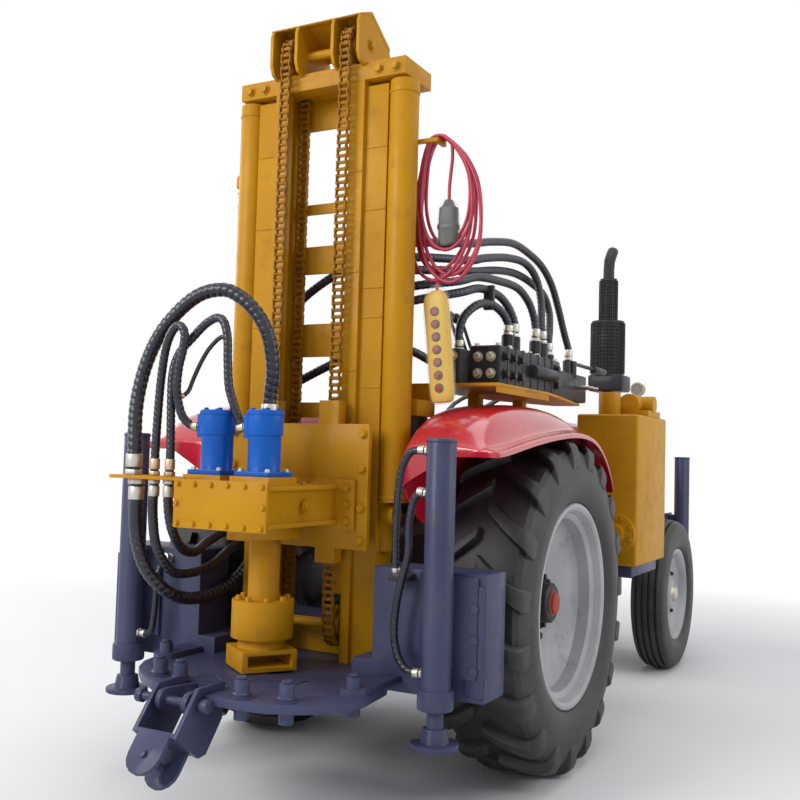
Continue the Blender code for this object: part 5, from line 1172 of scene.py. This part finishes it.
def cable_route():
    """Out of the pendant, round the hank's turns, which differ a little in size and place, to the connector."""
    route = list(CABLE_START)
    total = HANK_TURNS + (HANK_END - HANK_START) / len(HANK_LOOP)
    for step in range(1, HANK_STEPS + 1):
        turns = total * step / HANK_STEPS
        reach = REACH + sum(wave(turns, *values) for values in REACH_WAVES)
        spot = loop_spot(HANK_START / len(HANK_LOOP) + turns, reach, wave(turns, *DEPTH_WAVE))
        spot.x += wave(turns, *SWING_WAVE) * (HOOK_TOP[2] - spot.z) / LOOP_HEIGHT
        route.append(spot)
    return [*route, *CABLE_END]


def rounded_ring(x, z, half_wide, half_thick, lean=PENDANT_LEAN, count=20, power=0.55):
    """A rounded oblong ring in the pendant's plane, turned in the X-Z plane by a lean."""
    ring = []
    for i in range(count):
        angle = 2 * math.pi * i / count
        across = half_wide * math.copysign(abs(math.cos(angle)) ** power, math.cos(angle))
        deep = half_thick * math.copysign(abs(math.sin(angle)) ** power, math.sin(angle))
        ring.append(at(x + across * math.cos(lean), PENDANT_Y + deep, z + across * math.sin(lean)))
    return ring


def crumpled(ring, depth):
    """Moves each point of a ring a little, at random."""
    return [spot + Vector((random.uniform(-1, 1), random.uniform(-1, 1), 0)) * depth for spot in ring]


class RIG_OT_pendant(bpy.types.Operator):
    """Shapes the push-button pendant in its clear bag, and winds its red cable over the hook"""
    bl_idname = "rig.pendant"
    bl_label = "Pendant and cable"

    def execute(self, context):
        body = lofted([rounded_ring(x, z, wide, thick) for z, x, wide, thick in PENDANT_RINGS], 0.0, 40, 1)
        case = settle(body, "pendant_case", "yellow_plastic", "rig", "pendant")
        heights = [FIRST_BUTTON + BUTTON_PITCH * i for i in range(BUTTONS)]
        buttons = [(ROW_FOOT[0] - ROW_SLOPE * (z - ROW_FOOT[1]), z) for z in heights]
        for name, finish, radius, low, high, bevel in (
                ("pendant_buttons", "cap_paint", 0.0125, -0.652, -0.640, 0.002),
                ("pendant_button_collars", "black_plastic", 0.0175, -0.6475, -0.638, 0.0015)):
            rounds = [cylinder(radius, low, high, "Y", spot, 24, bevel) for spot in buttons]
            settle(joined(rounds), name, "yellow_plastic", "rig", finish=finish)
        random.seed(11)
        bag = [crumpled(rounded_ring(x, z, wide, thick, count=28, power=0.8), 0.0028)
               for z, x, wide, thick in BAG_RINGS]
        settle(lofted(bag, 0.0, 60, 1), "pendant_bag", "yellow_plastic", "rig", finish="film")

        rings = [rounded_ring(CONNECTOR_X, z, wide, thick, lean=0.0) for z, wide, thick in CONNECTOR_RINGS]
        connector = settle(lofted(rings, 0.0015, 30), "cable_connector", "red_cable", "rig", "cable_hank",
                           finish="black_plastic")
        rings = [crumpled(rounded_ring(CONNECTOR_X, z, wide, thick, 0.0, 24, 0.8), 0.004)
                 for z, wide, thick in WRAP_RINGS]
        wrap = settle(lofted(rings, 0.0, 60, 1), "connector_wrap", "red_cable", "rig", finish="film")

        points, length = smooth_route(cable_route(), CABLE_STEP)
        cable = swept("cable", points, lambda i, side: CABLE_WIDE / 2, 8)
        settle(cable, "red_cable", "red_cable", "rig", "cable_hank")
        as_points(spots_of(points, 3))
        return {"FINISHED"}


# Bolts, plates and fittings

MOTOR_X = {"left": -0.10, "right": 0.10}
MOTOR_FLANGE = 0.055
MOTOR_TOP = 0.042
TANK_FACE = (0.726, 0.832, 0.905)
PEGS = ((-0.402, -1.035), (-0.225, -1.262), (-0.126, -1.275), (0.188, -1.352), (0.333, -1.318), (0.452, -1.12))
SIDES = (("left", -1), ("right", 1))
# Bolts in the order of their making: name, size, depth, heads, slot, body, and finish or washer where needed
HEAD_BOLTS = (
    ("carriage_bolts", 0.030, 0.014, facing(REAR, grid((-0.285, 0.285), (-0.825,), (0.945, 1.06, 1.20, 1.325))),
     "yellow_paint", "carriage"),
    ("gearbox_cover_bolts", 0.017, 0.009,
     facing(REAR, grid((-0.175, -0.105, -0.035, 0.035, 0.105, 0.175), (-1.267,), (1.003, 1.137))
            + grid((-0.180, 0.180), (-1.267,), (1.07,))), "yellow_paint", "carriage"),
    ("gearbox_flange_bolts", 0.026, 0.013, facing(REAR, grid((-0.235, 0.235), (-0.8415,), (1.01, 1.07, 1.13))),
     "yellow_paint", "carriage"),
    ("gearbox_side_plug", 0.034, 0.012, facing(OUT, [(0.1995, -1.05, 1.07)]), "yellow_paint", "carriage"),
    ("gearbox_top_bolts", 0.017, 0.009,
     facing(UP, grid((-0.165, 0.165), (-1.02, -0.95, -0.88), (1.14,))
            + grid((-0.08, 0.0, 0.08), (-0.885,), (1.14,))), "yellow_paint", "carriage"))
FRAME_BOLTS = (
    ("peg_nuts", 0.064, 0.016, facing(UP, [(x, y, 0.4895) for x, y in PEGS]), "slate_paint", "rig"),
    ("peg_caps", 0.036, 0.010, facing(UP, [(x, y, 0.5448) for x, y in PEGS]), "slate_paint", "rig", None, False),
    ("frame_box_bolts", 0.036, 0.018, facing(REAR, grid((-0.765, 0.765), (-0.885,), (0.56, 0.66, 0.76))),
     "slate_paint", "rig"))
CROWN_BOLTS = (
    ("crown_bolts", 0.034, 0.016, facing(REAR, grid((-0.33, -0.26, 0.26, 0.33), (-0.75,), (2.688,))),
     "yellow_paint", "rig"),
    ("crown_pin_bolts", 0.038, 0.014,
     facing(OUT, [(0.203, -0.715, 2.80)]) + facing(INWARD, [(-0.203, -0.715, 2.80)]), "yellow_paint", "rig"),
    ("tank_flange_bolts", 0.020, 0.010,
     facing(REAR, [(TANK_FACE[0] + x, TANK_FACE[1], TANK_FACE[2] + z)
                   for x, z in circle(8, 0.076, 4 * 0.39 / math.pi)]), "yellow_paint", "rig"))
VALVE_BOLTS = (
    ("valve_top_bolts", 0.022, 0.012,
     facing(UP, grid((0.49, 0.58), (-0.31, -0.19, 0.03, 0.12, 0.35), (VALVE_TOP,))), "black_iron", "rig", "steel"),
    ("valve_side_plugs", 0.034, 0.020, facing(OUT, grid((0.60,), (-0.29, -0.21, -0.13, 0.30), (1.58, 1.65))),
     "black_iron", "rig"),
    ("valve_relief_plugs", 0.030, 0.030, facing(REAR, [(0.415, -0.44, 1.60), (0.45, -0.44, 1.64)]),
     "black_iron", "rig", "brass"),
    ("valve_rear_plugs", 0.032, 0.022,
     facing(REAR, [(x, -0.34, z) for z in (1.58, 1.645) for x in (0.51, 0.565)]), "black_iron", "rig", "steel"))
# Heights of the weld strips on the side panels, and on the rails of both sides
PANEL_WELDS = {"left": (1.74, 2.13, 2.42), "right": (1.50, 1.76, 1.87, 2.164, 2.40)}
RAIL_WELDS = (1.56, 1.93, 2.31)
JACKS = (("rear_left", -0.662, -0.955, 1.305), ("rear_right", 0.662, -0.955, 1.305),
         ("front_left", -0.57, 2.95, 1.285), ("front_right", 0.57, 2.95, 1.285))
EXHAUST = (0.20, 2.42)
# Perforated guards: name, radius, ends, how many openings round and up
GUARDS = (("lower", 0.1085, 1.82, 2.145, 36, 13), ("upper", 0.0585, 2.17, 2.425, 24, 12))
GUARD_WIRE = 0.0065
GAUGE = (0.72, 0.0, 1.6283)
WELD_HALF = 0.004
LOUVRES = 9
FIRST_LOUVRE = 1.86
LOUVRE_PITCH = 0.055
LOUVRE_HALF = 0.016
LAMP = (0.20, 0.0, 1.41)


def both_way(side, low, high):
    """Limits on X, or their mirror image for the left side."""
    return (low, high) if side > 0 else (-high, -low)


def strips(x, y, heights):
    """Thin weld strips across a panel."""
    return joined([block(x, y, (z - WELD_HALF, z + WELD_HALF), 0.0015) for z in heights])


class RIG_OT_fittings(bpy.types.Operator):
    """Adds the bolts, weld strips, guards and small plates"""
    bl_idname = "rig.fittings"
    bl_label = "Bolts and fittings"

    def execute(self, context):
        for bolts, details in ((HEAD_BOLTS, self.motor_details), (FRAME_BOLTS, self.frame_details),
                               (CROWN_BOLTS, self.jack_details), ((), self.exhaust_guards),
                               (VALVE_BOLTS, self.valve_details), ((), self.hood_details)):
            for row in bolts:
                hex_heads(*row)
            details()
        return {"FINISHED"}

    def motor_details(self):
        """Flange bolts, top bolts and bands of the two motors."""
        for word, x in MOTOR_X.items():
            flange = grid((x - MOTOR_FLANGE, x + MOTOR_FLANGE), (MOTOR_Y - MOTOR_FLANGE, MOTOR_Y + MOTOR_FLANGE),
                          (1.1843,))
            hex_heads("motor_%s_flange_bolts" % word, 0.018, 0.010, facing(UP, flange), "blue_paint", "carriage",
                      "steel")
            top = [(x + a, MOTOR_Y + b, 1.39) for a, b in circle(4, MOTOR_TOP, 0.5)]
            hex_heads("motor_%s_top_bolts" % word, 0.016, 0.008, facing(UP, top), "blue_paint", "carriage")
            band = spun(((1.372, 0.060), (1.375, 0.0635), (1.385, 0.0635), (1.388, 0.060)), "Z",
                        (x, MOTOR_Y, 0.0), 48)
            settle(band, "motor_%s_band" % word, "blue_paint", "carriage")

    def frame_details(self):
        """Flanges of the frame's boxes, weld strips of the mast and rings of its posts."""
        for word, side in SIDES:
            flange = block(both_way(side, 0.735, 0.798), (-0.8935, -0.8847), (0.475, 0.832), 0.002)
            settle(flange, "frame_box_flange_" + word, "slate_paint", "rig")
            welds = strips(both_way(side, 0.203, 0.292), (-0.7335, -0.7295), PANEL_WELDS[word])
            settle(welds, "panel_welds_" + word, "yellow_paint", "rig")
            welds = strips(both_way(side, 0.144, 0.198), (-0.7532, -0.7495), RAIL_WELDS)
            settle(welds, "rail_welds_" + word, "yellow_paint", "rig")
            bands = [spun(((z - 0.006, 0.0545), (z - 0.005, 0.0575), (z + 0.005, 0.0575), (z + 0.006, 0.0545)),
                          "Z", (side * 0.345, -0.695, 0.0), 40) for z in (1.10, 2.60)]
            settle(joined(bands), "post_rings_" + word, "yellow_paint", "rig")

    def jack_details(self):
        """Top caps and gland rings of the four jacks."""
        for word, x, y, top in JACKS:
            cap = spun(((top - 0.0065, 0.0), (top - 0.0065, 0.0505), (top - 0.003, 0.052), (top + 0.003, 0.050),
                        (top + 0.006, 0.044), (top + 0.006, 0.0)), "Z", (x, y, 0.0), 48)
            gland = spun(((0.440, 0.0555), (0.440, 0.0595), (0.452, 0.0605), (0.492, 0.0605), (0.500, 0.0585),
                          (0.502, 0.0555)), "Z", (x, y, 0.0), 48)
            settle(joined([cap, gland]), "jack_%s_rings" % word, "slate_paint", "rig")

    def exhaust_guards(self):
        """Perforated guards round the silencer and the pipe over it."""
        for word, radius, low, high, around, rows in GUARDS:
            deselect()
            bpy.ops.mesh.primitive_cylinder_add(vertices=around, radius=radius, depth=high - low,
                                                end_fill_type="NOTHING", location=at(*EXHAUST, (low + high) / 2))
            guard = bpy.context.object
            bpy.ops.object.transform_apply(location=True, rotation=True, scale=True)
            bpy.ops.object.mode_set(mode="EDIT")
            shape = bmesh.from_edit_mesh(guard.data)
            upright = [edge for edge in shape.edges if abs(edge.verts[0].co.z - edge.verts[1].co.z) > 0.01]
            bmesh.ops.subdivide_edges(shape, edges=upright, cuts=rows, use_grid_fill=True)
            bmesh.update_edit_mesh(guard.data)
            bpy.ops.object.mode_set(mode="OBJECT")
            wires = guard.modifiers.new("holes", "WIREFRAME")
            wires.thickness = GUARD_WIRE
            wires.use_replace = True
            wires.use_boundary = True
            settle(apply_modifiers(guard), "exhaust_guard_" + word, "black_iron", "rig")

    def valve_details(self):
        """Section plates, spool rods and lever knobs of the valve bank, and the gauge beside it."""
        plates = [block((0.4695, 0.6035), (y - 0.003, y + 0.003), (1.5306, 1.6935), 0.001)
                  for y in (-0.255, -0.17, -0.085, 0.0, 0.085, 0.17, 0.255)]
        settle(joined(plates), "valve_section_plates", "black_iron", "rig", finish="grey_iron")
        rods = [cylinder(0.006, 0.574, 0.640, "X", (y, 1.60), 16, 0.001) for y in (0.667, 0.73, 0.80)]
        settle(joined(rods), "valve_spool_rods", "black_iron", "rig", finish="steel")
        knobs = []
        for y in (-0.23, -0.17, -0.11):
            deselect()
            bpy.ops.mesh.primitive_uv_sphere_add(segments=20, ring_count=12, radius=0.018,
                                                 location=at(0.33, y, 1.826), scale=(1.0, 1.0, 1.25))
            knobs.append(rounded(bpy.context.object, 0.0))
        settle(joined(knobs), "valve_lever_knobs", "black_iron", "rig", finish="black_plastic")
        glass = spun(((1.2195, 0.0), (1.2195, 0.028), (1.2215, 0.028), (1.2215, 0.0)), "Y", GAUGE, 40)
        settle(glass, "gauge_face", "yellow_paint", "rig", finish="silver_paint")
        ring = spun(((1.216, 0.028), (1.216, 0.0355), (1.224, 0.0355), (1.224, 0.028)), "Y", GAUGE, 48)
        settle(ring, "gauge_ring", "yellow_paint", "rig", finish="steel")

    def hood_details(self):
        """Louvres, catches and lamps on the hood and the nose, and the hood's spine."""
        for word, side in SIDES:
            wide = both_way(side, 0.2785, 0.2865)
            middles = [FIRST_LOUVRE + LOUVRE_PITCH * i for i in range(LOUVRES)]
            louvres = [block(wide, (y - LOUVRE_HALF, y + LOUVRE_HALF), (1.14, 1.30), 0.0035) for y in middles]
            settle(joined(louvres), "hood_louvres_" + word, "red_paint", "rig")
            catch = block(both_way(side, 0.279, 0.292), (1.16, 1.20), (1.01, 1.07), 0.004)
            settle(catch, "hood_catch_" + word, "black_plastic", "rig")
            lamp = (side * LAMP[0], *LAMP[1:])
            lens = spun(((2.8315, 0.0), (2.8315, 0.044), (2.836, 0.040), (2.841, 0.026), (2.843, 0.0)), "Y",
                        lamp, 40)
            settle(lens, "lamp_lens_" + word, "silver_paint", "rig", finish="lens")
            ring = spun(((2.829, 0.043), (2.829, 0.054), (2.836, 0.053), (2.838, 0.049), (2.836, 0.043)), "Y",
                        lamp, 48)
            settle(ring, "lamp_ring_" + word, "silver_paint", "rig", finish="steel")
        seam = block((-0.02, 0.02), (1.09, 2.60), (1.4695, 1.4755), 0.002)
        settle(seam, "hood_spine", "red_paint", "rig")


class RIG_OT_finish_nodes(bpy.types.Operator):
    """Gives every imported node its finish"""
    bl_idname = "rig.finish_nodes"
    bl_label = "Finish of the solids"

    def execute(self, context):
        make_materials(context.scene.rig_colours)
        for name, obj in NODES.items():
            obj.data.materials.clear()
            obj.data.materials.append(MATERIALS[SLOT_OF[name]])
        return {"FINISHED"}


class RIG_PT_panel(bpy.types.Panel):
    """Lists the settings and the steps"""
    bl_label = "Drilling rig"
    bl_idname = "RIG_PT_panel"
    bl_space_type = "VIEW_3D"
    bl_region_type = "UI"
    bl_category = "Drilling rig"

    def draw(self, context):
        for group in (context.scene.rig_colours, context.scene.rig_studio):
            for key in group.__annotations__:
                self.layout.prop(group, key)
        for step in STEPS:
            self.layout.operator(step.bl_idname)


STEPS = (RIG_OT_finish_nodes, RIG_OT_bodywork, RIG_OT_hoses, RIG_OT_wheels, RIG_OT_fenders, RIG_OT_chains,
         RIG_OT_pendant, RIG_OT_fittings, RIG_OT_stage)
GROUPS = (RigColours, RigStudio)


def register():
    for item in (*GROUPS, *STEPS, RIG_PT_panel):
        bpy.utils.register_class(item)
    bpy.types.Scene.rig_colours = bpy.props.PointerProperty(type=RigColours)
    bpy.types.Scene.rig_studio = bpy.props.PointerProperty(type=RigStudio)


def unregister():
    del bpy.types.Scene.rig_studio
    del bpy.types.Scene.rig_colours
    for item in reversed((*GROUPS, *STEPS, RIG_PT_panel)):
        bpy.utils.unregister_class(item)


def main():
    register()
    bpy.context.scene.view_settings.view_transform = "Standard"
    for step in STEPS:
        group, name = step.bl_idname.split(".")
        getattr(getattr(bpy.ops, group), name)()


if __name__ == "__main__":
    main()
